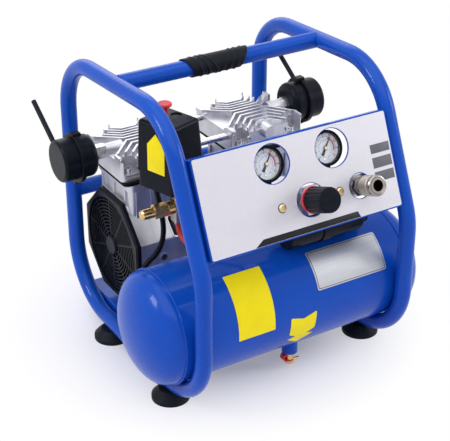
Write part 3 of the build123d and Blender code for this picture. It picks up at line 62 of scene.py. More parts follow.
# %% [markdown]
# ## The camera
#
# The photograph looks at the machine from the front left and from above, through a long lens. A camera
# can be set by turning it until the picture fits, but a camera that is placed by an angle and a distance
# round a target point is easier to read and to change.

# %% Camera
VIEW_TURN = radians(-31.31)
VIEW_LIFT = radians(28.44)
VIEW_DISTANCE = 1.6828
VIEW_TARGET = Vector((-0.0209, -0.0017, 0.1812))
VIEW_REACH = 20
SENSOR = 36.0
PHOTO_WIDTH = 450
FOCAL_PIXELS = 1308.4

view_back = Vector((sin(VIEW_TURN) * cos(VIEW_LIFT), -cos(VIEW_TURN) * cos(VIEW_LIFT), sin(VIEW_LIFT)))
bpy.ops.object.camera_add(location=VIEW_TARGET + VIEW_DISTANCE * view_back)
camera = bpy.context.object
camera.rotation_euler = view_back.to_track_quat("Z", "Y").to_euler()
camera.data.sensor_width = SENSOR
camera.data.lens = SENSOR * FOCAL_PIXELS / PHOTO_WIDTH
camera.data.clip_end = VIEW_REACH
bpy.context.scene.camera = camera
bpy.context.scene.view_settings.view_transform = "Standard"
print("lens", round(camera.data.lens, 1))

# %% [markdown]
# ## Sockets that do sums
#
# A material is a graph of nodes. Written node by node it is long and hard to follow, so a small class
# wraps a socket and lets Python's own operators add the Math nodes: `1 - mask` or `grain * 0.2` then read
# like the sum they are. All other nodes come from one method of the graph, which serves materials and the
# sky alike.

# %% Sockets in sums
def sum_node(operation, reflected=False):
    """A method that adds the Math node of one of Python's operators."""
    def method(field, other):
        one, two = (other, field) if reflected else (field, other)
        return field.graph.node("ShaderNodeMath", {"operation": operation}, {0: one, 1: two})
    return method


class Field:
    """A node's output that can be used in a sum."""

    def __init__(self, graph, socket):
        self.graph = graph
        self.socket = socket

    __add__ = sum_node("ADD")
    __radd__ = sum_node("ADD", reflected=True)
    __sub__ = sum_node("SUBTRACT")
    __rsub__ = sum_node("SUBTRACT", reflected=True)
    __mul__ = sum_node("MULTIPLY")
    __rmul__ = sum_node("MULTIPLY", reflected=True)
    __pow__ = sum_node("POWER")
    __rpow__ = sum_node("POWER", reflected=True)
    __lt__ = sum_node("LESS_THAN")
    __gt__ = sum_node("GREATER_THAN")
    __or__ = sum_node("MAXIMUM")
    __ror__ = sum_node("MAXIMUM", reflected=True)


print("sums of sockets ready")

# %% Graphs
NOISE_LOW = 0.3
NOISE_HIGH = 0.7


class Graph:
    """A node tree, and the one method that adds nodes to it."""

    def __init__(self, tree):
        self.tree = tree

    def node(self, kind, settings=None, inputs=None, out=0):
        made = self.tree.nodes.new(kind)
        for name, value in (settings or {}).items():
            setattr(made, name, value)
        for name, value in (inputs or {}).items():
            self.join(value, made.inputs[name])
        return Field(self, made.outputs[out])

    def join(self, value, socket):
        if isinstance(value, Field):
            self.tree.links.new(value.socket, socket)
        else:
            socket.default_value = value

    def spread(self, value, low, high, lowest=NOISE_LOW, highest=NOISE_HIGH):
        """Maps a value to a range; most of a noise lies between the usual limits."""
        return self.node("ShaderNodeMapRange", None, {0: value, 1: lowest, 2: highest, 3: low, 4: high})

    def background_rays(self):
        """One for the rays that show the background: straight, mirrored or through glass."""
        rays = self.node("ShaderNodeLightPath").socket.node.outputs
        straight, mirrored, through = [Field(self, rays[f"Is {kind} Ray"])
                                       for kind in ("Camera", "Glossy", "Transmission")]
        return straight | mirrored | through


print("graphs ready")

# %% Finishes
class Finish(Graph):
    """A material with one Principled shader, and short names for the nodes that feed it."""

    def __init__(self, name, colour, roughness, metallic=0.0):
        self.material = bpy.data.materials.new(name)
        self.material.use_nodes = True
        self.material.diffuse_color = (*colour, 1)
        super().__init__(self.material.node_tree)
        self.shader = self.tree.nodes["Principled BSDF"]
        self.set("Base Color", (*colour, 1))
        self.set("Roughness", roughness)
        self.set("Metallic", metallic)

    def set(self, name, value):
        self.join(value, self.shader.inputs[name])

    def place(self):
        return self.node("ShaderNodeTexCoord", out="Object")

    def stretched(self, scale):
        return self.node("ShaderNodeMapping", None, {"Vector": self.place(), "Scale": scale})

    def axes(self):
        outputs = self.node("ShaderNodeSeparateXYZ", None, {0: self.place()}).socket.node.outputs
        return [Field(self, outputs[name]) for name in "XYZ"]

    def noise(self, scale, detail, vector=None):
        return self.node("ShaderNodeTexNoise", None,
                         {"Vector": vector or self.place(), "Scale": scale, "Detail": detail})

    def cells(self, scale):
        return self.node("ShaderNodeTexVoronoi", None, {"Vector": self.place(), "Scale": scale}, "Distance")

    def blend(self, factor, one, two):
        one = one if isinstance(one, Field) else (*one, 1)
        return self.node("ShaderNodeMix", {"data_type": "RGBA"}, {0: factor, 6: one, 7: (*two, 1)}, 2)

    def shade(self, pattern, one, two, most=1):
        """Lets a pattern drift the colour from one to the other."""
        self.set("Base Color", self.blend(self.spread(pattern, 0, most), one, two))

    def gloss(self, pattern, low, high):
        """Lets a pattern drift the roughness."""
        self.set("Roughness", self.spread(pattern, low, high))

    def bump(self, height, depth, strength):
        self.set("Normal", self.node("ShaderNodeBump", None,
                                     {"Height": height, "Distance": depth * MM, "Strength": strength}))


finishes = {}
print("finishes can be made")

# %% [markdown]
# ## Blue paint
#
# Frame, tank and panel tray are coated in glossy royal blue powder paint. Powder flows out while it
# bakes, but not fully, which leaves a soft orange peel of about a millimetre. A second, slower noise
# shifts the colour and the gloss a little, so that long tubes and the tank don't look like one flat
# colour. A thin coat gives crisp glints over the softer sheen.

# %% Blue paint
BLUE = (0.003, 0.068, 0.45)
BLUE_DEEP = (0.0025, 0.063, 0.43)
BLUE_LIGHT = (0.0035, 0.073, 0.47)
BLUE_SHEEN = (0.72, 0.86, 1.0, 1)


def blue_paint():
    made = Finish("blue_paint", BLUE, 0.3)
    drift = made.noise(14, 3)
    made.shade(drift, BLUE_DEEP, BLUE_LIGHT)
    made.gloss(drift, 0.24, 0.34)
    made.set("Specular IOR Level", 0.12)
    made.set("Specular Tint", BLUE_SHEEN)
    made.set("Coat Weight", 0.2)
    made.set("Coat Roughness", 0.05)
    made.bump(made.noise(750, 2), 0.12, 0.08)
    return made


finishes["blue_paint"] = blue_paint()
print("blue paint", finishes["blue_paint"].material.name)

# %% [markdown]
# ## Silver panel sheet
#
# The control panel is a steel tray with a silver sheet on its front. The sheet has a fine grain along its
# length and a light mottle, which show as small changes of gloss more than of colour. Noise that is
# stretched along X gives the grain.

# %% Silver panel sheet
PANEL_GRAIN = (40, 2600, 2600)
PANEL_SILVER = (0.66, 0.65, 0.70)
PANEL_DULL = (0.62, 0.61, 0.665)
PANEL_BRIGHT = (0.69, 0.68, 0.73)


def panel_silver():
    made = Finish("panel_silver", PANEL_SILVER, 0.42, 0.3)
    grain = made.noise(1, 3, made.stretched(PANEL_GRAIN))
    mottle = made.noise(420, 3)
    made.shade(grain * 0.5 + mottle * 0.5, PANEL_DULL, PANEL_BRIGHT)
    made.gloss(mottle, 0.36, 0.5)
    made.bump(grain, 0.04, 0.35)
    return made


finishes["panel_silver"] = panel_silver()
print("panel sheet ready")

# %% [markdown]
# ## Castings
#
# Heads and crankcases are die-cast aluminium, tumbled after casting. The skin is light and satin, with
# fine grain, faint flow marks and duller patches. Flow marks are a slow, stretched noise; the grain is a
# fast one that feeds the gloss and, with small pits, the bump.

# %% Cast aluminium
FLOW_STRETCH = (1, 1, 0.4)
CAST_GREY = (0.62, 0.62, 0.66)
CAST_DULL = (0.52, 0.52, 0.57)
CAST_BRIGHT = (0.70, 0.70, 0.75)


def cast_aluminium():
    made = Finish("cast_aluminium", CAST_GREY, 0.36, 0.8)
    flow = made.noise(38, 5, made.stretched(FLOW_STRETCH))
    grain = made.noise(1500, 3)
    pits = made.cells(620)
    made.shade(flow, CAST_DULL, CAST_BRIGHT)
    made.gloss(flow * 0.6 + grain * 0.4, 0.27, 0.46)
    made.bump(grain + 0.5 * pits, 0.12, 0.35)
    return made


finishes["cast_aluminium"] = cast_aluminium()
print("castings ready")

# %% [markdown]
# ## Black mouldings, rubber and hoses
#
# Filter housings, pressure switch, fan guards and knob are moulded from black plastic with a fine
# spark-eroded grain. Grip and feet are rubber: rougher, with dust in the grain. The lead has a smooth PVC
# skin. One function makes all the black skins, because they differ only in numbers. Black mirrors little,
# and what it mirrors has a touch of blue.

# %% Black mouldings and rubber
DARK_SPECULAR = 0.12
DARK_SHEEN = (0.66, 0.73, 1.0, 1)
# Colour, dusty colour, roughness, grains to the metre and their depth in millimetres
DARK_SKINS = {
    "black_plastic": ((0.005, 0.006, 0.009), (0.009, 0.010, 0.014), 0.3, 1800, 0.08),
    "grip_rubber": ((0.007, 0.008, 0.011), (0.014, 0.015, 0.018), 0.5, 1100, 0.15),
    "gasket": ((0.004, 0.004, 0.005), (0.008, 0.008, 0.009), 0.65, 900, 0.1),
    "black_hose": ((0.006, 0.006, 0.007), (0.010, 0.010, 0.012), 0.36, 700, 0.06),
    "black_paint": ((0.006, 0.006, 0.008), (0.011, 0.011, 0.013), 0.36, 900, 0.12),
    "needle_black": ((0.01, 0.01, 0.01), (0.02, 0.02, 0.02), 0.5, 2500, 0.02),
}


def dark_skin(name, colour, dusty, roughness, grain_scale, grain_depth):
    made = Finish(name, colour, roughness)
    made.set("Specular IOR Level", DARK_SPECULAR)
    made.set("Specular Tint", DARK_SHEEN)
    grain = made.noise(grain_scale, 2)
    patch = made.noise(60, 4)
    made.shade(patch, colour, dusty, 0.6)
    made.gloss(patch * 0.5 + grain * 0.5, roughness - 0.07, roughness + 0.08)
    made.bump(grain, grain_depth, 0.4)
    return made


for name, look in DARK_SKINS.items():
    finishes[name] = dark_skin(name, *look)
print("dark finishes", len(DARK_SKINS))

# %% [markdown]
# ## Red plastic and hose
#
# Switch knob, regulator lock ring and drain lever are bright red and glossy. The red hose behind the
# panel is the same colour in a softer skin.

# %% Reds
# Colour, deeper colour and roughness
RED_SKINS = {
    "red_plastic": ((0.72, 0.022, 0.03), (0.58, 0.014, 0.02), 0.32),
    "red_hose": ((0.56, 0.03, 0.03), (0.44, 0.02, 0.02), 0.45),
}


def red_skin(name, colour, deep, roughness):
    made = Finish(name, colour, roughness)
    cloud = made.noise(160, 3)
    made.shade(cloud, deep, colour)
    made.gloss(cloud, roughness - 0.06, roughness + 0.08)
    made.bump(made.noise(1300, 2), 0.06, 0.3)
    return made


for name, look in RED_SKINS.items():
    finishes[name] = red_skin(name, *look)
print("red finishes", len(RED_SKINS))

# %% [markdown]
# ## Plated and bare metals
#
# Brass fittings, nickel coupler, zinc bolts, chromed pipes and ground steel share one recipe: a metal
# whose colour and gloss drift a little, with fine tool marks in the bump. Only the numbers differ.

# %% Metals
# Colour, dull colour, roughness and tool marks to the metre
METALS = {
    "brass": ((0.78, 0.55, 0.25), (0.62, 0.40, 0.16), 0.26, 1200),
    "nickel": ((0.40, 0.365, 0.345), (0.29, 0.265, 0.25), 0.24, 1400),
    "zinc_steel": ((0.70, 0.71, 0.73), (0.54, 0.55, 0.58), 0.3, 1000),
    "zinc_yellow": ((0.72, 0.56, 0.30), (0.60, 0.47, 0.27), 0.28, 1000),
    "chrome_pipe": ((0.82, 0.82, 0.83), (0.72, 0.72, 0.74), 0.14, 900),
    "steel": ((0.46, 0.47, 0.49), (0.34, 0.34, 0.36), 0.36, 800),
}


def metal(name, colour, dull, roughness, mark_scale):
    made = Finish(name, colour, roughness, 1.0)
    stain = made.noise(90, 4)
    marks = made.noise(mark_scale, 2)
    made.shade(stain, dull, colour)
    made.gloss(stain * 0.6 + marks * 0.4, roughness - 0.06, roughness + 0.1)
    made.bump(marks, 0.05, 0.3)
    return made


for name, look in METALS.items():
    finishes[name] = metal(name, *look)
print("metals", len(METALS))

# %% [markdown]
# ## Dials and lenses
#
# A dial is a stamped plate in cool white, under a clear plastic lens. The lens is nearly invisible: a low
# alpha keeps the dial readable in any renderer, and its smooth face still mirrors the lamps.

# %% Dial and lens
DIAL_COLOUR = (0.90, 0.94, 1.0)
DIAL_COOL = (0.87, 0.925, 1.0)
DIAL_BRIGHT = (0.93, 0.96, 1.0)
LENS_COLOUR = (0.9, 0.94, 1.0)


def dial_white():
    made = Finish("dial_white", DIAL_COLOUR, 0.5)
    made.shade(made.noise(200, 3), DIAL_COOL, DIAL_BRIGHT)
    made.bump(made.noise(2200, 2), 0.02, 0.3)
    return made


def clear_lens():
    made = Finish("clear_lens", LENS_COLOUR, 0.04)
    made.set("Alpha", 0.04)
    made.set("IOR", 1.49)
    made.gloss(made.noise(70, 3), 0.03, 0.09)
    return made


finishes["dial_white"] = dial_white()
finishes["clear_lens"] = clear_lens()
print("dial and lens ready")

# %% [markdown]
# ## Sheets and inks
#
# The sheets on tank and switch are yellow film, the plate is brushed foil, and the scales are printed.
# Film and ink are thin and even, so a slow cloud in the colour and a fine grain in the gloss are all they
# need.

# %% Sheets and inks
FILM_SPECULAR = 0.15
# Colour, deeper colour and roughness
FILMS = {
    "sheet_yellow": ((0.96, 0.80, 0.008), (0.92, 0.74, 0.006), 0.42),
    "print_black": ((0.012, 0.012, 0.014), (0.018, 0.018, 0.02), 0.42),
    "print_grey": ((0.16, 0.165, 0.18), (0.12, 0.125, 0.14), 0.45),
    "print_blue": ((0.30, 0.48, 0.80), (0.26, 0.42, 0.74), 0.5),
    "print_red": ((0.75, 0.03, 0.04), (0.65, 0.02, 0.03), 0.5),
}
FOIL_GRAIN = (30, 3000, 3000)
FOIL_SILVER = (0.53, 0.54, 0.575)
FOIL_DULL = (0.46, 0.475, 0.51)
FOIL_BRIGHT = (0.58, 0.59, 0.615)


def film(name, colour, deep, roughness):
    made = Finish(name, colour, roughness)
    made.set("Specular IOR Level", FILM_SPECULAR)
    cloud = made.noise(45, 3)
    grain = made.noise(1600, 2)
    made.shade(cloud, deep, colour)
    made.gloss(cloud * 0.5 + grain * 0.5, roughness - 0.06, roughness + 0.08)
    made.bump(grain, 0.01, 0.3)
    return made


def plate_silver():
    made = Finish("plate_silver", FOIL_SILVER, 0.34, 0.6)
    brushed = made.noise(1, 3, made.stretched(FOIL_GRAIN))
    made.shade(brushed, FOIL_DULL, FOIL_BRIGHT)
    made.gloss(brushed, 0.28, 0.42)
    return made


for name, look in FILMS.items():
    finishes[name] = film(name, *look)
finishes["plate_silver"] = plate_silver()
print("finishes", len(finishes))

# %% [markdown]
# ## Finishes on the solids
#
# The record says which material slot each CAD node belongs to. Its object gets the finish of that slot.

# %% Dress the nodes
for part in frame["record"]["subparts"]:
    mesh = nodes[part["node"]].data
    mesh.materials.clear()
    mesh.materials.append(finishes[part["material_slot"]].material)

# %% [markdown]
# ## Modelling by hand, in code
#
# Each small piece below starts as a primitive and is shaped in edit mode, as one would at the screen. A few
# helpers keep the cells short. The first group shapes: it adds a primitive with nothing else selected,
# selects vertices by their place, extrudes, turns faces outwards, and applies modifiers. The second group
# puts the finished mesh, or copies of it, in place and on their body.

# %% Helpers for shaping
NEAR = 0.01 * MM
MERGE_WITHIN = 0.001 * MM


def begin(operator, **settings):
    """Adds a primitive with nothing else selected."""
    bpy.ops.object.select_all(action="DESELECT")
    operator(**settings)
    return bpy.context.object


def pick(piece, test):
    """Selects the vertices that pass a test, with what lies between them, in edit mode."""
    bpy.ops.object.mode_set(mode="OBJECT")
    for group in (piece.data.edges, piece.data.polygons):
        group.foreach_set("select", [False] * len(group))
    for vertex in piece.data.vertices:
        vertex.select = bool(test(vertex.co))
    bpy.ops.object.mode_set(mode="EDIT")
    bpy.ops.mesh.select_mode(type="VERT")


def extrude(x, y, z):
    """Extrudes what is selected by a step."""
    bpy.ops.mesh.extrude_region_move(TRANSFORM_OT_translate={"value": (x, y, z)})


def face_outward():
    """Turns all faces to the outside."""
    bpy.ops.mesh.select_all(action="SELECT")
    bpy.ops.mesh.normals_make_consistent(inside=False)


def modify(piece, kind, **settings):
    """Adds a modifier and applies it."""
    bpy.ops.object.mode_set(mode="OBJECT")
    modifier = piece.modifiers.new(kind, kind)
    for name, value in settings.items():
        setattr(modifier, name, value)
    bpy.ops.object.modifier_apply(modifier=modifier.name)


def choose(piece):
    """Makes a piece the only one selected, and active."""
    bpy.ops.object.select_all(action="DESELECT")
    piece.select_set(True)
    bpy.context.view_layer.objects.active = piece


def cut(piece, tool):
    """Cuts one mesh out of another, and removes it."""
    choose(piece)
    modify(piece, "BOOLEAN", object=tool, operation="DIFFERENCE", solver="EXACT")
    bpy.data.objects.remove(tool)


print("shaping helpers ready")

# %% Helpers for placing
SMOOTH_BELOW = 30


def settle(piece, name, slot, place=None, body="frame", finish=None, smooth=SMOOTH_BELOW):
    """Puts a finished piece in its place, with its name, finish and body."""
    bpy.ops.object.mode_set(mode="OBJECT")
    choose(piece)
    piece.name = name
    piece.data.name = name
    if place is not None:
        piece.matrix_world = place @ piece.matrix_world
    bpy.ops.object.transform_apply(location=True, rotation=True, scale=True)
    bpy.ops.object.shade_smooth_by_angle(angle=radians(smooth))
    piece.data.materials.clear()
    piece.data.materials.append(finishes[finish or slot].material)
    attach(piece, body)
    return piece


def settle_each(piece, places, slot, finish=None, smooth=SMOOTH_BELOW):
    """Settles a piece in its first place, and a copy with a mesh of its own in each other one."""
    bpy.ops.object.mode_set(mode="OBJECT")
    spares = [piece.copy() for place in places[1:]]
    for spare in spares:
        spare.data = piece.data.copy()
        bpy.context.scene.collection.objects.link(spare)
    for made, (name, place, body) in zip([piece] + spares, places):
        settle(made, name, slot, place, body, finish, smooth)
    return [piece] + spares


def middle_of(node):
    """The middle of a node's box at rest."""
    low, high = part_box(node)
    return (Vector(low) + Vector(high)) / 2


print("placing helpers ready")

# %% [markdown]
# ## Plates on the tank
#
# The tank wears a tall plain yellow sheet, a silver plate with a dark line round it and a small yellow
# sheet in the shape of an arrow that points at the drain. Spinning one straight edge about the tank's
# axis gives a sheet that follows the tank exactly; its corners are then rounded by a vertex bevel, and
# Solidify gives it its thickness. The arrow is drawn flat, row by row from a grid, and projected on the
# tank by Shrinkwrap.

# %% Plates on the tank
TANK_RADIUS = 73.1 * MM
TANK_MIDDLE = middle_of("tank_heads")
LABEL_STEPS = 24
LABEL_THICKNESS = 0.25 * MM
PLANE_HALF = 0.5
TURN_NEAR = 0.01
# Name, reach along the tank in millimetres and round it in degrees, corner radius in millimetres and its
# facets, lift above the tank in millimetres, slot and finish
TANK_PLATES = [
    ("tall_sheet", (-92, -40), (27.5, 94), 0.8, 2, 0.05, "dial_white", "sheet_yellow"),
    ("rating_plate", (26, 131), (29, 69), 2.5, 4, 0.05, "panel_silver", "plate_silver"),
    ("rating_line", (27.6, 129.4), (30.3, 67.7), 2.0, 4, 0.20, "black_paint", "print_black"),
    ("rating_field", (28.3, 128.7), (30.9, 67.1), 1.8, 4, 0.35, "panel_silver", "plate_silver"),
]


def tank_turn(place):
    """How far a point has gone round the tank, from its top towards the front."""
    return atan2(TANK_MIDDLE.y - place.y, place.z - TANK_MIDDLE.z)


def tank_plate(name, span, turn, corner, facets, lift, slot, finish):
    """A thin plate bent round the tank, from one place to another along it and round it."""
    left, right = [MM * value for value in span]
    start, stop = [radians(value) for value in turn]
    radius = TANK_RADIUS + lift * MM
    piece = begin(bpy.ops.mesh.primitive_plane_add, size=2 * PLANE_HALF)
    pick(piece, lambda co: co.y > 0)
    bpy.ops.mesh.delete(type="VERT")
    bpy.ops.mesh.select_all(action="SELECT")
    bpy.ops.transform.resize(value=(right - left, 1, 1))
    edge_y = PLANE_HALF + TANK_MIDDLE.y - radius * sin(start)
    edge_z = TANK_MIDDLE.z + radius * cos(start)
    bpy.ops.transform.translate(value=((left + right) / 2, edge_y, edge_z))
    bpy.ops.mesh.spin(steps=LABEL_STEPS, angle=start - stop, center=TANK_MIDDLE, axis=(1, 0, 0))
    pick(piece, lambda co: min(abs(tank_turn(co) - end) for end in (start, stop)) < TURN_NEAR)
    bpy.ops.mesh.bevel(offset=corner * MM, segments=facets, affect="VERTICES")
    face_outward()
    modify(piece, "SOLIDIFY", thickness=LABEL_THICKNESS, offset=1)
    return settle(piece, name, slot, finish=finish)


for plate in TANK_PLATES:
    tank_plate(*plate)
print("plates on the tank", len(TANK_PLATES))

# %% Arrow sheet over the drain
ARROW_TOP = (19.0, 20.0)
ARROW_NOTCH = 14.5
ARROW_SHAFT = (18.7, -6.8)
ARROW_NECK = (8.0, -12.9)
ARROW_BARB = (18.5, -16.8)
ARROW_TIP = -30.6
ARROW_ROWS = (ARROW_TOP, ARROW_SHAFT, ARROW_NECK, ARROW_BARB)
ARROW_CORNER = 1.8 * MM
ARROW_CUTS = 5
ROW_COUNT = len(ARROW_ROWS) - 1
ROW_STEP = 2 / ROW_COUNT

piece = begin(bpy.ops.mesh.primitive_grid_add, x_subdivisions=2, y_subdivisions=ROW_COUNT, size=2)
for number, (half, height) in enumerate(ARROW_ROWS):
    level = 1 - number * ROW_STEP
    pick(piece, lambda co: abs(co.y - level) < ROW_STEP / 4 and co.z == 0)
    bpy.ops.transform.resize(value=(half * MM, 1, 1), center_override=(0, 0, 0))
    bpy.ops.transform.translate(value=(0, height * MM - level, 1))
pick(piece, lambda co: co.x == 0 and co.y > (ARROW_SHAFT[1] + 1) * MM)
bpy.ops.transform.translate(value=(0, (ARROW_NOTCH - ARROW_TOP[1]) * MM, 0))
pick(piece, lambda co: co.y < (ARROW_BARB[1] + 1) * MM)
extrude(0, (ARROW_TIP - ARROW_BARB[1]) * MM, 0)
bpy.ops.mesh.merge(type="CENTER")
bpy.ops.mesh.select_all(action="SELECT")
bpy.ops.transform.translate(value=(0, 0, -1))
bpy.ops.mesh.subdivide(number_cuts=ARROW_CUTS)
corners = [Vector((side * half, height)) * MM
           for side in (-1, 1) for half, height in (ARROW_TOP, ARROW_SHAFT)]
pick(piece, lambda co: min((co.to_2d() - corner).length for corner in corners) < NEAR)
bpy.ops.mesh.bevel(offset=ARROW_CORNER, segments=4, affect="VERTICES")
bpy.ops.object.mode_set(mode="OBJECT")
print("arrow vertices", len(piece.data.vertices))

# %% Wrap the arrow round the tank
ARROW_X = 2.4 * MM
ARROW_TURN = radians(104)
ARROW_CLEAR = 2 * MM
ARROW_LIFT = 0.1 * MM

arrow_out = Vector((0, -sin(ARROW_TURN), cos(ARROW_TURN)))
arrow_up = Vector((0, cos(ARROW_TURN), sin(ARROW_TURN)))
arrow_turn = Matrix((Vector((1, 0, 0)), arrow_up, arrow_out)).transposed().to_4x4()
arrow_axis = Vector((ARROW_X, TANK_MIDDLE.y, TANK_MIDDLE.z))
arrow_middle = arrow_axis + (TANK_RADIUS + ARROW_CLEAR) * arrow_out
piece.matrix_world = Matrix.Translation(arrow_middle) @ arrow_turn
bpy.context.view_layer.update()
modify(piece, "SHRINKWRAP", target=nodes["tank_shell"], wrap_method="PROJECT", use_project_z=True,
       use_negative_direction=True, use_positive_direction=False, offset=ARROW_LIFT)
modify(piece, "SOLIDIFY", thickness=LABEL_THICKNESS, offset=1)
settle(piece, "arrow_sheet", "dial_white", finish="sheet_yellow")
print("arrow sheet", [round(value, 4) for value in piece.bound_box[0]])

# %% [markdown]
# ## Fields on the panel
#
# A dark strip with slanted ends closes the panel's lower edge and three plain dark fields stand at its
# right. A plane is stretched to its size and one edge of the strip is drawn in; a bevel on the finished
# sheet keeps its rim from looking razor sharp.

# %% Fields on the panel
PANEL_OUT = Vector(joints["regulator_turn"]["axis"])
PANEL_UP = PANEL_OUT.cross(Vector((1, 0, 0)))
PANEL_TURN = Matrix((Vector((1, 0, 0)), PANEL_UP, PANEL_OUT)).transposed().to_4x4()
FACE_SHEET = 0.6 * MM
PANEL_MIDDLE = middle_of("panel_face") - FACE_SHEET / 2 * PANEL_OUT
FIELD_THICKNESS = 0.2 * MM
# Name, finish, left, right, lower and upper edge, and how far the upper corners are drawn in; all in
# millimetres
PANEL_FIELDS = [
    ("lower_strip", "print_black", -77, 73, -58.6, -51, 12, 3),
    ("upper_field", "print_grey", 105, 133, 11, 22, 0, 0),
    ("middle_field", "print_grey", 105, 133, -7, 6, 0, 0),
    ("lower_field", "print_grey", 105, 133, -23.5, -11.5, 0, 0),
]


def panel_place(x, row, out):
    """The panel's own axes at a place on it, in millimetres, and a height above it."""
    offset = x * MM * Vector((1, 0, 0)) + row * MM * PANEL_UP + out * PANEL_OUT
    return Matrix.Translation(PANEL_MIDDLE + offset) @ PANEL_TURN


def panel_field(name, finish, left, right, low, high, slant_left, slant_right):
    """A thin dark field; its upper corners can be drawn in."""
    piece = begin(bpy.ops.mesh.primitive_plane_add, size=MM)
    bpy.ops.object.mode_set(mode="EDIT")
    bpy.ops.transform.resize(value=(right - left, high - low, 1))
    pick(piece, lambda co: co.y > 0 and co.x < 0)
    bpy.ops.transform.translate(value=(slant_left * MM, 0, 0))
    pick(piece, lambda co: co.y > 0 and co.x > 0)
    bpy.ops.transform.translate(value=(-slant_right * MM, 0, 0))
    modify(piece, "SOLIDIFY", thickness=FIELD_THICKNESS, offset=1)
    modify(piece, "BEVEL", width=FIELD_THICKNESS / 3, segments=2)
    place = panel_place((left + right) / 2, (low + high) / 2, FACE_SHEET)
    return settle(piece, name, "black_paint", place, finish=finish)


for field in PANEL_FIELDS:
    panel_field(*field)
print("fields on the panel", len(PANEL_FIELDS))

# %% [markdown]
# ## Yellow sheet on the switch
#
# The pressure switch has a plain yellow sheet in the shape of a house gable on its left side. A plane
# gives the square part; its upper edge is extruded and merged to one point, which makes the gable.

# %% Sheet on the switch
GABLE_WIDTH = 28 * MM
GABLE_EAVES = 35 * MM
GABLE_RISE = 16 * MM

piece = begin(bpy.ops.mesh.primitive_plane_add, size=1)
bpy.ops.object.mode_set(mode="EDIT")
bpy.ops.transform.resize(value=(GABLE_WIDTH, GABLE_EAVES, 1))
bpy.ops.transform.translate(value=(0, GABLE_EAVES / 2, 0))
pick(piece, lambda co: co.y > GABLE_EAVES / 2)
extrude(0, GABLE_RISE, 0)
bpy.ops.mesh.merge(type="CENTER")
modify(piece, "SOLIDIFY", thickness=FIELD_THICKNESS, offset=1)
modify(piece, "BEVEL", width=FIELD_THICKNESS / 3, segments=2)
print("gable vertices", len(piece.data.vertices))

# %% Lay the sheet on the switch
SWITCH_TURN = radians(18)
SWITCH_SIDE = Vector((-cos(SWITCH_TURN), -sin(SWITCH_TURN), 0))
SWITCH_FRONT = Vector((sin(SWITCH_TURN), -cos(SWITCH_TURN), 0))
SIDE_HEIGHT = 68 * MM
SIDE_DRAFT = 0.7 * MM
SIDE_LEAN = atan2(SIDE_DRAFT, SIDE_HEIGHT)
SIDE_REACH = 29.2 * MM
GABLE_FORWARD = 3 * MM
GABLE_LIFT = 5.5 * MM

switch_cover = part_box("pressure_switch_cover")
switch_middle = middle_of("pressure_switch_base")
side_foot = Vector((switch_middle.x, switch_middle.y, switch_cover[0][2])) + SIDE_REACH * SWITCH_SIDE
side_up = (Vector((0, 0, 1)) - sin(SIDE_LEAN) * SWITCH_SIDE).normalized()
side_out = SWITCH_FRONT.cross(side_up)
side_turn = Matrix((SWITCH_FRONT, side_up, side_out)).transposed().to_4x4()
sheet_foot = side_foot + GABLE_FORWARD * SWITCH_FRONT + GABLE_LIFT * side_up
sheet_place = Matrix.Translation(sheet_foot) @ side_turn
settle(piece, "gable_sheet", "dial_white", sheet_place, finish="sheet_yellow")
print("sheet on the switch", [round(value, 4) for value in sheet_foot])

# %% [markdown]
# ## The dials' print
#
# Each gauge has a fine black scale, plain numbers, a red arc over the high readings and a light blue
# inner scale. They could be painted by a material, but as thin meshes they stay sharp from any distance
# and survive the export. One tick is modelled and spun round the dial as copies, and an arc is a spun
# edge, as on the tank.

# %% Scales and arcs
DIALS = {name: Vector(joints[name + "_needle_turn"]["pos_m"]) for name in ("tank", "outlet")}
SWEEP = radians(270)
INK = 0.08 * MM
ARC_STEPS = 24


def dial_place(name, height):
    """A gauge's own axes, at a height above its dial plate."""
    return Matrix.Translation(DIALS[name] + height * PANEL_OUT) @ PANEL_TURN


def on_dials(piece, name, height, slot, finish=None):
    """Puts a print on both dials."""
    places = [(f"{gauge}_{name}", dial_place(gauge, height), "frame") for gauge in DIALS]
    return settle_each(piece, places, slot, finish)


def ticks(radius, length, width, steps):
    """A scale of equal ticks over the gauge's sweep, in millimetres."""
    piece = begin(bpy.ops.mesh.primitive_plane_add, size=MM)
    bpy.ops.object.mode_set(mode="EDIT")
    bpy.ops.transform.resize(value=(width, length, 1))
    extrude(0, 0, INK)
    bpy.ops.mesh.select_all(action="SELECT")
    bpy.ops.transform.translate(value=(0, radius * MM, 0))
    bpy.ops.transform.rotate(value=-SWEEP / 2, orient_axis="Z", center_override=(0, 0, 0))
    bpy.ops.mesh.spin(steps=steps, angle=SWEEP, dupli=True, center=(0, 0, 0), axis=(0, 0, 1))
    face_outward()
    return piece


def arc(radius, width, start, stop):
    """A flat arc, in millimetres; its angles run clockwise from the top."""
    piece = begin(bpy.ops.mesh.primitive_plane_add, size=MM)
    pick(piece, lambda co: co.x > 0)
    bpy.ops.mesh.delete(type="VERT")
    bpy.ops.mesh.select_all(action="SELECT")
    bpy.ops.transform.resize(value=(1, width, 1))
    bpy.ops.transform.translate(value=(MM / 2, radius * MM, 0))
    bpy.ops.transform.rotate(value=radians(start), orient_axis="Z", center_override=(0, 0, 0))
    bpy.ops.mesh.spin(steps=ARC_STEPS, angle=radians(stop - start), center=(0, 0, 0), axis=(0, 0, 1))
    face_outward()
    modify(piece, "SOLIDIFY", thickness=INK, offset=1)
    return piece


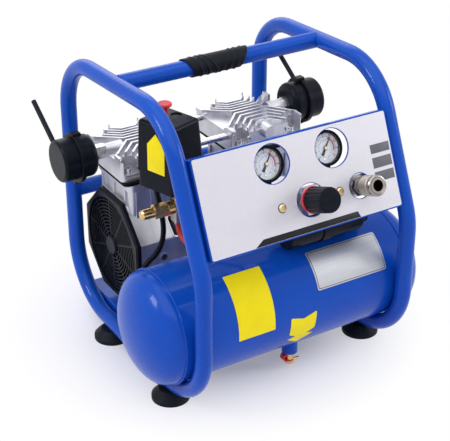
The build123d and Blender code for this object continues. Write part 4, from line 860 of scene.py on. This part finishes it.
fine_scale = ticks(radius=14.2, length=1.3, width=0.36, steps=40)
on_dials(fine_scale, "fine_scale", INK / 4, "needle_black")
main_scale = ticks(radius=13.8, length=2.2, width=0.7, steps=8)
on_dials(main_scale, "main_scale", INK / 2, "needle_black")
inner_scale = ticks(radius=9.4, length=1.8, width=0.7, steps=16)
on_dials(inner_scale, "inner_scale", INK / 4, "dial_white", "print_blue")
high_arc = arc(radius=12.2, width=1.5, start=24, stop=115)
on_dials(high_arc, "high_arc", 1.5 * INK, "red_plastic", "print_red")
print("dials", {name: [round(value, 4) for value in place] for name, place in DIALS.items()})

# %% Numbers
NUMBER_SIZE = 3.8 * MM
NUMBER_RADIUS = 16.4 * MM
NUMBER_WEIGHT = 0.09 * MM
LOW_NUMBERS = (0, 2, 4, 6, 8)
HIGH_NUMBERS = (10, 12, 14, 16)
FULL_SCALE = HIGH_NUMBERS[-1]


def numbers(values):
    """Plain upright numbers round the dial, made meshes and joined."""
    made = []
    for value in values:
        turn = SWEEP * (value / FULL_SCALE - 0.5)
        text = begin(bpy.ops.object.text_add)
        text.data.body = str(value)
        text.data.size = NUMBER_SIZE
        text.data.align_x = "CENTER"
        text.data.align_y = "CENTER"
        text.data.extrude = INK / 2
        text.data.offset = NUMBER_WEIGHT
        bpy.ops.object.convert(target="MESH")
        bpy.context.object.location = (NUMBER_RADIUS * sin(turn), NUMBER_RADIUS * cos(turn), 0)
        made.append(bpy.context.object)
    for text in made:
        text.select_set(True)
    bpy.ops.object.join()
    bpy.ops.object.transform_apply(location=True, rotation=True, scale=True)
    return bpy.context.object


on_dials(numbers(LOW_NUMBERS), "low_numbers", INK, "needle_black")
on_dials(numbers(HIGH_NUMBERS), "high_numbers", INK, "red_plastic", "print_red")
print("numbers on", len(DIALS), "dials")

# %% [markdown]
# ## Needle caps and screws
#
# A small brass cap presses each needle on its spindle and turns with it, so it rides on the needle's
# body. Two tiny screws hold each dial plate. Both start as a cylinder; the cap's upper rim is rounded,
# and the screw's top is inset and sunk a little. The panel's own two screws are domed and have a cross
# cut into them, which a Boolean modifier does with a bar, once for each arm.

# %% Caps and dial screws
CAP_RADIUS = 2.3 * MM
CAP_HEIGHT = 1.5 * MM
CAP_LIFT = 0.95 * MM
DIAL_SCREW_RADIUS = 1.8 * MM
DIAL_SCREW_HEIGHT = 0.7 * MM
DIAL_SCREW_SIDE = 3.4 * MM
DIAL_SCREW_DROP = 11.6 * MM
ROUND_BELOW = 40

piece = begin(bpy.ops.mesh.primitive_cylinder_add, vertices=32, radius=CAP_RADIUS, depth=CAP_HEIGHT)
pick(piece, lambda co: co.z > 0)
bpy.ops.mesh.bevel(offset=CAP_HEIGHT / 3, segments=3)
places = [(gauge + "_needle_cap", dial_place(gauge, CAP_LIFT + CAP_HEIGHT / 2), gauge + "_needle")
          for gauge in DIALS]
settle_each(piece, places, "brass", smooth=ROUND_BELOW)

piece = begin(bpy.ops.mesh.primitive_cylinder_add, vertices=24, radius=DIAL_SCREW_RADIUS,
              depth=DIAL_SCREW_HEIGHT)
pick(piece, lambda co: co.z > 0)
bpy.ops.mesh.inset(thickness=DIAL_SCREW_RADIUS / 3)
bpy.ops.transform.translate(value=(0, 0, -DIAL_SCREW_HEIGHT / 3))
places = []
for gauge in DIALS:
    for side, name in ((-1, "left"), (1, "right")):
        offset = Matrix.Translation((side * DIAL_SCREW_SIDE, -DIAL_SCREW_DROP, 0))
        place = dial_place(gauge, DIAL_SCREW_HEIGHT / 2) @ offset
        places.append((f"{gauge}_{name}_dial_screw", place, "frame"))
settle_each(piece, places, "zinc_steel")
print("caps and dial screws", 3 * len(DIALS))

# %% Panel screws
SCREW_RADIUS = 5.0 * MM
SCREW_RISE = 2.6 * MM
SCREW_DOME = 0.85 * SCREW_RISE
SCREW_FOOT = -0.49 * SCREW_RISE
SHANK_RADIUS = 2.0 * MM
SHANK_LENGTH = 6.0 * MM
CROSS_LENGTH = 5.4 * MM
CROSS_WIDTH = 1.1 * MM
CROSS_DEPTH = 1.2 * MM
CROSS_TURN = pi / 5
SCREW_ROW = -22

piece = begin(bpy.ops.mesh.primitive_cylinder_add, vertices=48, radius=SCREW_RADIUS, depth=SCREW_RISE)
pick(piece, lambda co: co.z > 0)
bpy.ops.mesh.bevel(offset=SCREW_DOME, segments=6)
pick(piece, lambda co: co.z < SCREW_FOOT)
bpy.ops.mesh.inset(thickness=SCREW_RADIUS - SHANK_RADIUS)
extrude(0, 0, -SHANK_LENGTH)
bpy.ops.object.mode_set(mode="OBJECT")
for turn in (0, pi / 2):
    bar = begin(bpy.ops.mesh.primitive_cube_add, size=1, location=(0, 0, SCREW_RISE / 2),
                rotation=(0, 0, turn + CROSS_TURN), scale=(CROSS_LENGTH, CROSS_WIDTH, 2 * CROSS_DEPTH))
    cut(piece, bar)
screw_low, screw_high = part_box("panel_screws")
places = []
for name, x in (("left", screw_low[0] + SCREW_RADIUS), ("right", screw_high[0] - SCREW_RADIUS)):
    place = panel_place(x / MM, SCREW_ROW, FACE_SHEET + SCREW_RISE / 2)
    places.append((name + "_panel_screw", place, "frame"))
for screw in settle_each(piece, places, "zinc_yellow", smooth=ROUND_BELOW):
    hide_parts("panel_screws")
print("panel screws", len(places))

# %% [markdown]
# ## Coupler sleeve
#
# The sleeve of the quick coupler is turned from bar, with a row of finger grooves and a smooth collar. It
# is made as on a lathe: one vertex is extruded along the outline of half its section, and the outline is
# spun once round the axis. The sleeve slides, so it rides on its own body. The coupler's bore is brass
# darkened by painted shade: a mask by the distance from the axis darkens it in the body's own finish.

# %% Turning
SPIN_STEPS = 72


def turned(outline):
    """A closed outline of (radius, height) points, in millimetres, spun round the Z axis."""
    piece = begin(bpy.ops.mesh.primitive_plane_add, size=2)
    pick(piece, lambda co: co.x < 0 or co.y < 0)
    bpy.ops.mesh.delete(type="VERT")
    bpy.ops.mesh.select_all(action="SELECT")
    points = [Vector((radius, 0, height)) * MM for radius, height in outline]
    bpy.ops.transform.translate(value=points[0] - Vector((1, 1, 0)))
    for last, point in zip(points, points[1:] + points[:1]):
        extrude(*(point - last))
    bpy.ops.mesh.select_all(action="SELECT")
    bpy.ops.mesh.remove_doubles(threshold=MERGE_WITHIN)
    bpy.ops.mesh.select_all(action="SELECT")
    bpy.ops.mesh.spin(steps=SPIN_STEPS, angle=2 * pi, center=(0, 0, 0), axis=(0, 0, 1))
    bpy.ops.mesh.select_all(action="SELECT")
    bpy.ops.mesh.remove_doubles(threshold=MERGE_WITHIN)
    face_outward()
    return piece


print("ready to turn")

# %% Coupler sleeve
SLEEVE_BORE = 10.3
SLEEVE_CREST = 12.8
SLEEVE_VALLEY = 11.7
SLEEVE_COLLAR = 13.0
SLEEVE_LENGTH = 24.0
SLEEVE_CHAMFER = 0.6
GROOVE_FROM = 2.6
GROOVE_PITCH = 2.3
GROOVE_COUNT = 5
GROOVE_SLOPE = 0.5
GROOVE_FLAT = 0.6
NECK_FROM = 14.6
NECK_SLOPE = 0.8
NECK_FLAT = 1.0
COLLAR_FROM = 17.4
# How far the rounded nose has drawn in, and how far below the end it is there
SLEEVE_NOSE = ((0, 1.8), (0.5, 0.8), (1.3, 0.2), (2.2, 0))
NOSE_HOLLOW = 0.3
SLEEVE_SMOOTH = 25

sleeve = [(SLEEVE_BORE, 0), (SLEEVE_CREST - SLEEVE_CHAMFER, 0), (SLEEVE_CREST, SLEEVE_CHAMFER)]
for number in range(GROOVE_COUNT):
    foot = GROOVE_FROM + number * GROOVE_PITCH
    floor_from = foot + GROOVE_SLOPE
    floor_to = floor_from + GROOVE_FLAT
    sleeve += [(SLEEVE_CREST, foot), (SLEEVE_VALLEY, floor_from), (SLEEVE_VALLEY, floor_to),
               (SLEEVE_CREST, floor_to + GROOVE_SLOPE)]
neck_low = NECK_FROM + NECK_SLOPE
sleeve += [(SLEEVE_CREST, NECK_FROM), (SLEEVE_VALLEY, neck_low), (SLEEVE_VALLEY, neck_low + NECK_FLAT),
           (SLEEVE_COLLAR, COLLAR_FROM)]
sleeve += [(SLEEVE_COLLAR - inward, SLEEVE_LENGTH - below) for inward, below in SLEEVE_NOSE]
sleeve += [(SLEEVE_BORE, SLEEVE_LENGTH - NOSE_HOLLOW)]
piece = turned(sleeve)
sleeve_middle = middle_of("coupler_sleeve")
place = Matrix.Translation(sleeve_middle - SLEEVE_LENGTH / 2 * MM * PANEL_OUT) @ PANEL_TURN
settle(piece, "grooved_sleeve", "nickel", place, body="coupler_sleeve", smooth=SLEEVE_SMOOTH)
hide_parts("coupler_sleeve")
print("sleeve vertices", len(piece.data.vertices))

# %% Painted shade in the coupler's bore
BORE_EDGE = 7.1 * MM
# Brass darkened to paint the shade inside the bore
BORE_SHADE_BRASS = (0.08, 0.052, 0.026)


def bored_nickel():
    made = metal("bored_nickel", *METALS["nickel"])
    x, y, z = made.axes()
    across = x - sleeve_middle.x
    risen = (y - sleeve_middle.y) * PANEL_UP.y + (z - sleeve_middle.z) * PANEL_UP.z
    # Inside this radius the finish is darkened: painted shade over the brass of the bore
    bore = (across * across + risen * risen) ** 0.5 < BORE_EDGE
    skin = Field(made, made.shader.inputs["Base Color"].links[0].from_socket)
    made.set("Base Color", made.blend(bore, skin, BORE_SHADE_BRASS))
    return made


nodes["coupler_body"].data.materials[0] = bored_nickel().material
print("coupler bore dressed")

# %% [markdown]
# ## Head gaskets
#
# Between each cylinder and its head lies a thick black gasket, which shows as a dark line right under the
# head. It is as wide as the head: a plane with rounded corners, extruded to a plate, with the bore cut by
# a Boolean modifier.

# %% Head gaskets
GASKET_INSET = 1.0 * MM
GASKET_CORNER = 7 * MM
GASKET_BORE = 32 * MM

gasket_low, gasket_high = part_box("head_gaskets")
gasket_sheet = gasket_high[2] - gasket_low[2]
head_low, head_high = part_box("left_head")
piece = begin(bpy.ops.mesh.primitive_plane_add, size=1)
bpy.ops.object.mode_set(mode="EDIT")
bpy.ops.transform.resize(value=(head_high[0] - head_low[0] - 2 * GASKET_INSET,
                                head_high[1] - head_low[1] - 2 * GASKET_INSET, 1))
bpy.ops.mesh.bevel(offset=GASKET_CORNER, segments=6, affect="VERTICES")
bpy.ops.mesh.select_all(action="SELECT")
extrude(0, 0, gasket_sheet)
face_outward()
bpy.ops.object.mode_set(mode="OBJECT")
bore = begin(bpy.ops.mesh.primitive_cylinder_add, vertices=64, radius=GASKET_BORE, depth=4 * gasket_sheet)
cut(piece, bore)
places = []
for side in ("left", "right"):
    middle = middle_of(side + "_head")
    place = Matrix.Translation((middle.x, middle.y, gasket_low[2]))
    places.append((side + "_head_gasket", place, "frame"))
for gasket in settle_each(piece, places, "gasket"):
    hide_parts("head_gaskets")
print("gaskets", len(places))

# %% [markdown]
# ## The rubber grip
#
# The grip is a rubber sleeve with slanted ends and slim ribs that lean towards its middle, like a row of
# nested Vs, each with its own slant. Rings of the right slant could be laid on a tube, but on the real
# sleeve the ribs grow out of it. So a plain cylinder is bisected by slanted planes, three close together
# for each rib, and the middle ring of each three is drawn outwards. The ends are cut by two more planes,
# drawn in to the tube and joined through it.

# %% Grip
GRIP_RADIUS = 12.7 * MM
GRIP_BLANK = 120 * MM
BAR_RADIUS = 10.8 * MM
GRIP_DOWN = Vector((0, -0.535, -0.845))
# Place along the bar in millimetres and slope, and for the ends also the side that stays
GRIP_RIBS = ((-30, 0.45), (-20.5, 0.5), (-11.5, 0.72), (11.5, -0.74), (20.5, -0.62), (30, -0.55))
GRIP_ENDS = ((-42, 0.45, 1), (39, -0.55, -1))
RIB_HALF = 1.7


def slanted(slope):
    """The normal of a plane across the bar that leans along it towards the grip's underside."""
    return Vector((1, 0, 0)) - slope * GRIP_DOWN


grip_middle = middle_of("handle_grip")
grip = begin(bpy.ops.mesh.primitive_cylinder_add, vertices=72, radius=GRIP_RADIUS, depth=GRIP_BLANK,
             end_fill_type="NOTHING", rotation=(0, pi / 2, 0))
bpy.ops.object.transform_apply(location=False, rotation=True, scale=False)
for x, slope in GRIP_RIBS:
    for step in (-RIB_HALF, 0, RIB_HALF):
        pick(grip, lambda co: True)
        bpy.ops.mesh.bisect(plane_co=((x + step) * MM, 0, 0), plane_no=slanted(slope))
for end, slope, keep in GRIP_ENDS:
    pick(grip, lambda co: True)
    bpy.ops.mesh.bisect(plane_co=(end * MM, 0, 0), plane_no=keep * slanted(slope), clear_inner=True)
print("rings", len(GRIP_RIBS) * 3, "vertices", len(grip.data.vertices))

# %% Grip ribs and ends
RIB_RISE = 1.0 * MM
RIB_ROUND = 0.7 * MM
RIB_EDGE = radians(28)


def resize_ring(place, slope, factor, ends=False):
    """Draws one slanted ring outwards or inwards; at an end, on a new ring extruded from it."""
    pick(grip, lambda co: abs(co.dot(slanted(slope)) - place * MM) < NEAR)
    if ends:
        extrude(0, 0, 0)
    bpy.ops.transform.resize(value=(1, factor, factor), center_override=(0, 0, 0))


for x, slope in GRIP_RIBS:
    resize_ring(x, slope, 1 + RIB_RISE / GRIP_RADIUS)
for end, slope, keep in GRIP_ENDS:
    resize_ring(end, slope, BAR_RADIUS / GRIP_RADIUS, ends=True)
bpy.ops.mesh.select_all(action="DESELECT")
bpy.ops.mesh.select_non_manifold(extend=False)
bpy.ops.mesh.bridge_edge_loops()
face_outward()
modify(grip, "BEVEL", width=RIB_ROUND, segments=3, limit_method="ANGLE", angle_limit=RIB_EDGE)
settle(grip, "grip_sleeve", "grip_rubber", Matrix.Translation(grip_middle), smooth=ROUND_BELOW)
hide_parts("handle_grip")
print("grip vertices", len(grip.data.vertices))

# %% [markdown]
# ## Lead and hose
#
# The motor lead hangs from the switch in a soft S and turns into the pump; the red hose runs from the
# cross block to the outlet bar. Both are one NURBS curve with the points of their route, and a round
# bevel that takes its size from each point's radius: a curve stays smooth where a tube of straight runs
# would look like bent wire.

# %% Routes of lead and hose
LEAD_ROUTE = [
    (-0.11384, 0.01046, 0.2477),
    (-0.105, 0.00961, 0.205),
    (-0.101, 0.01661, 0.17),
    (-0.108, 0.02061, 0.148),
    (-0.126, 0.02361, 0.134),
    (-0.137, 0.02261, 0.116),
    (-0.125, 0.02061, 0.098),
    (-0.104, 0.02061, 0.088),
    (-0.085, 0.03311, 0.086),
]
LEAD_DIAMETER = 0.007
HOSE_ROUTE = [
    (-0.0935, -0.00839, 0.206),
    (-0.0935, -0.01039, 0.182),
    (-0.0915, -0.04839, 0.184),
    (-0.0505, -0.08539, 0.222),
    (-0.024, -0.09214, 0.24358),
    (-0.024, -0.12007, 0.25584),
]
HOSE_DIAMETER = 0.008
LINES = [
    ("motor_lead_skin", LEAD_ROUTE, LEAD_DIAMETER, "black_hose", "motor_lead", "medium"),
    ("regulator_hose_skin", HOSE_ROUTE, HOSE_DIAMETER, "red_hose", "regulator_hose", "stiff"),
]
print("routes", len(LINES))

# %% Lead and hose
def soft_line(name, route, diameter):
    """A round cord along a NURBS spline that its route's points control."""
    data = bpy.data.curves.new(name, "CURVE")
    data.dimensions = "3D"
    data.resolution_u = 12
    data.bevel_depth = 1.0
    data.bevel_resolution = 6
    data.use_fill_caps = True
    spline = data.splines.new("NURBS")
    spline.points.add(len(route) - 1)
    for point, place in zip(spline.points, route):
        point.co = (*place, 1)
        point.radius = diameter / 2
    spline.order_u = 3
    spline.use_endpoint_u = True
    line = bpy.data.objects.new(name, data)
    bpy.context.scene.collection.objects.link(line)
    return line


def line_length(line):
    """The length of a curve, measured along its own points."""
    depth = line.data.bevel_depth
    line.data.bevel_depth = 0
    bpy.context.view_layer.update()
    mesh = bpy.data.meshes.new_from_object(line.evaluated_get(bpy.context.evaluated_depsgraph_get()))
    line.data.bevel_depth = depth
    places = [vertex.co.copy() for vertex in mesh.vertices]
    bpy.data.meshes.remove(mesh)
    return sum((two - one).length for one, two in zip(places, places[1:]))


for name, route, diameter, slot, node, stiffness in LINES:
    line = soft_line(name, route, diameter)
    line.data.materials.append(finishes[slot].material)
    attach(line, "frame")
    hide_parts(node)
    length = line_length(line)
    print(name, round(length, 4), "m")

# %% [markdown]
# ## Floor and light
#
# The photograph is a studio picture on white: a broad soft light from above, smaller ones from the left
# and the right that leave crisp glints, a weak one from behind, and a white ground that keeps only a
# faint shadow. The floor is a plain sheet of pale lavender paint; its lavender is a painted shade tint,
# seen only near the machine, where the floor lies in its shade. For rays that come straight from the
# camera, by way of a mirror or through glass, it fades to pure white with the distance, so that the
# ground has no horizon. The sky is white for the same rays, and dimmer as a light.

# %% Floor
FLOOR_SIZE = 12
# The floor's lavender is a painted shade tint, seen near the machine where the floor lies in shade
FLOOR_SHADE_TINT = (0.80, 0.80, 0.94)
FADE_BACK = 0.06
FADE_FROM = 0.14
FADE_TO = 0.29
FLOOR_NEAR_WHITE = 0.25
WHITE = (1, 1, 1, 1)

floor = begin(bpy.ops.mesh.primitive_plane_add, size=FLOOR_SIZE)
floor.name = "floor"


def floor_paint():
    made = Finish("floor_paint", FLOOR_SHADE_TINT, 0.6)
    x, y = made.axes()[:2]
    behind = y - FADE_BACK
    distance = (x * x + behind * behind) ** 0.5
    far = made.spread(distance, FLOOR_NEAR_WHITE, 1, FADE_FROM, FADE_TO)
    paint = Field(made, made.shader.outputs[0])
    glow = made.node("ShaderNodeEmission", None, {"Color": WHITE, "Strength": 1})
    mixed = made.node("ShaderNodeMixShader", None, {0: far * made.background_rays(), 1: paint, 2: glow})
    made.join(mixed, made.tree.nodes["Material Output"].inputs["Surface"])
    return made


floor.data.materials.append(floor_paint().material)
print("floor", FLOOR_SIZE, "m")

# %% Lamps
# Name, place, size in metres and power in watts
LAMPS = [
    ("top_softbox", (-0.3, -0.5, 2.2), 3.0, 38),
    ("left_softbox", (-2.1, 0.4, 1.5), 0.7, 20),
    ("right_fill", (2.0, -1.2, 1.1), 0.9, 17),
    ("rear_fill", (0.6, 2.0, 1.5), 1.6, 12),
]
LAMP_TARGET = Vector((0, 0, 0.18))

for name, place, size, power in LAMPS:
    bpy.ops.object.light_add(type="AREA", location=place)
    lamp = bpy.context.object
    lamp.name = name
    lamp.data.size = size
    lamp.data.energy = power
    lamp.rotation_euler = (Vector(place) - LAMP_TARGET).to_track_quat("Z", "Y").to_euler()
print("lamps", len(LAMPS))

# %% Sky
SKY_LIGHT = 0.42

world = bpy.data.worlds.new("studio")
bpy.context.scene.world = world
world.use_nodes = True
sky = Graph(world.node_tree)
background = sky.tree.nodes["Background"]
sky.join(WHITE, background.inputs["Color"])
sky.join(sky.spread(sky.background_rays(), SKY_LIGHT, 1, 0, 1), background.inputs["Strength"])
print("sky light", SKY_LIGHT)
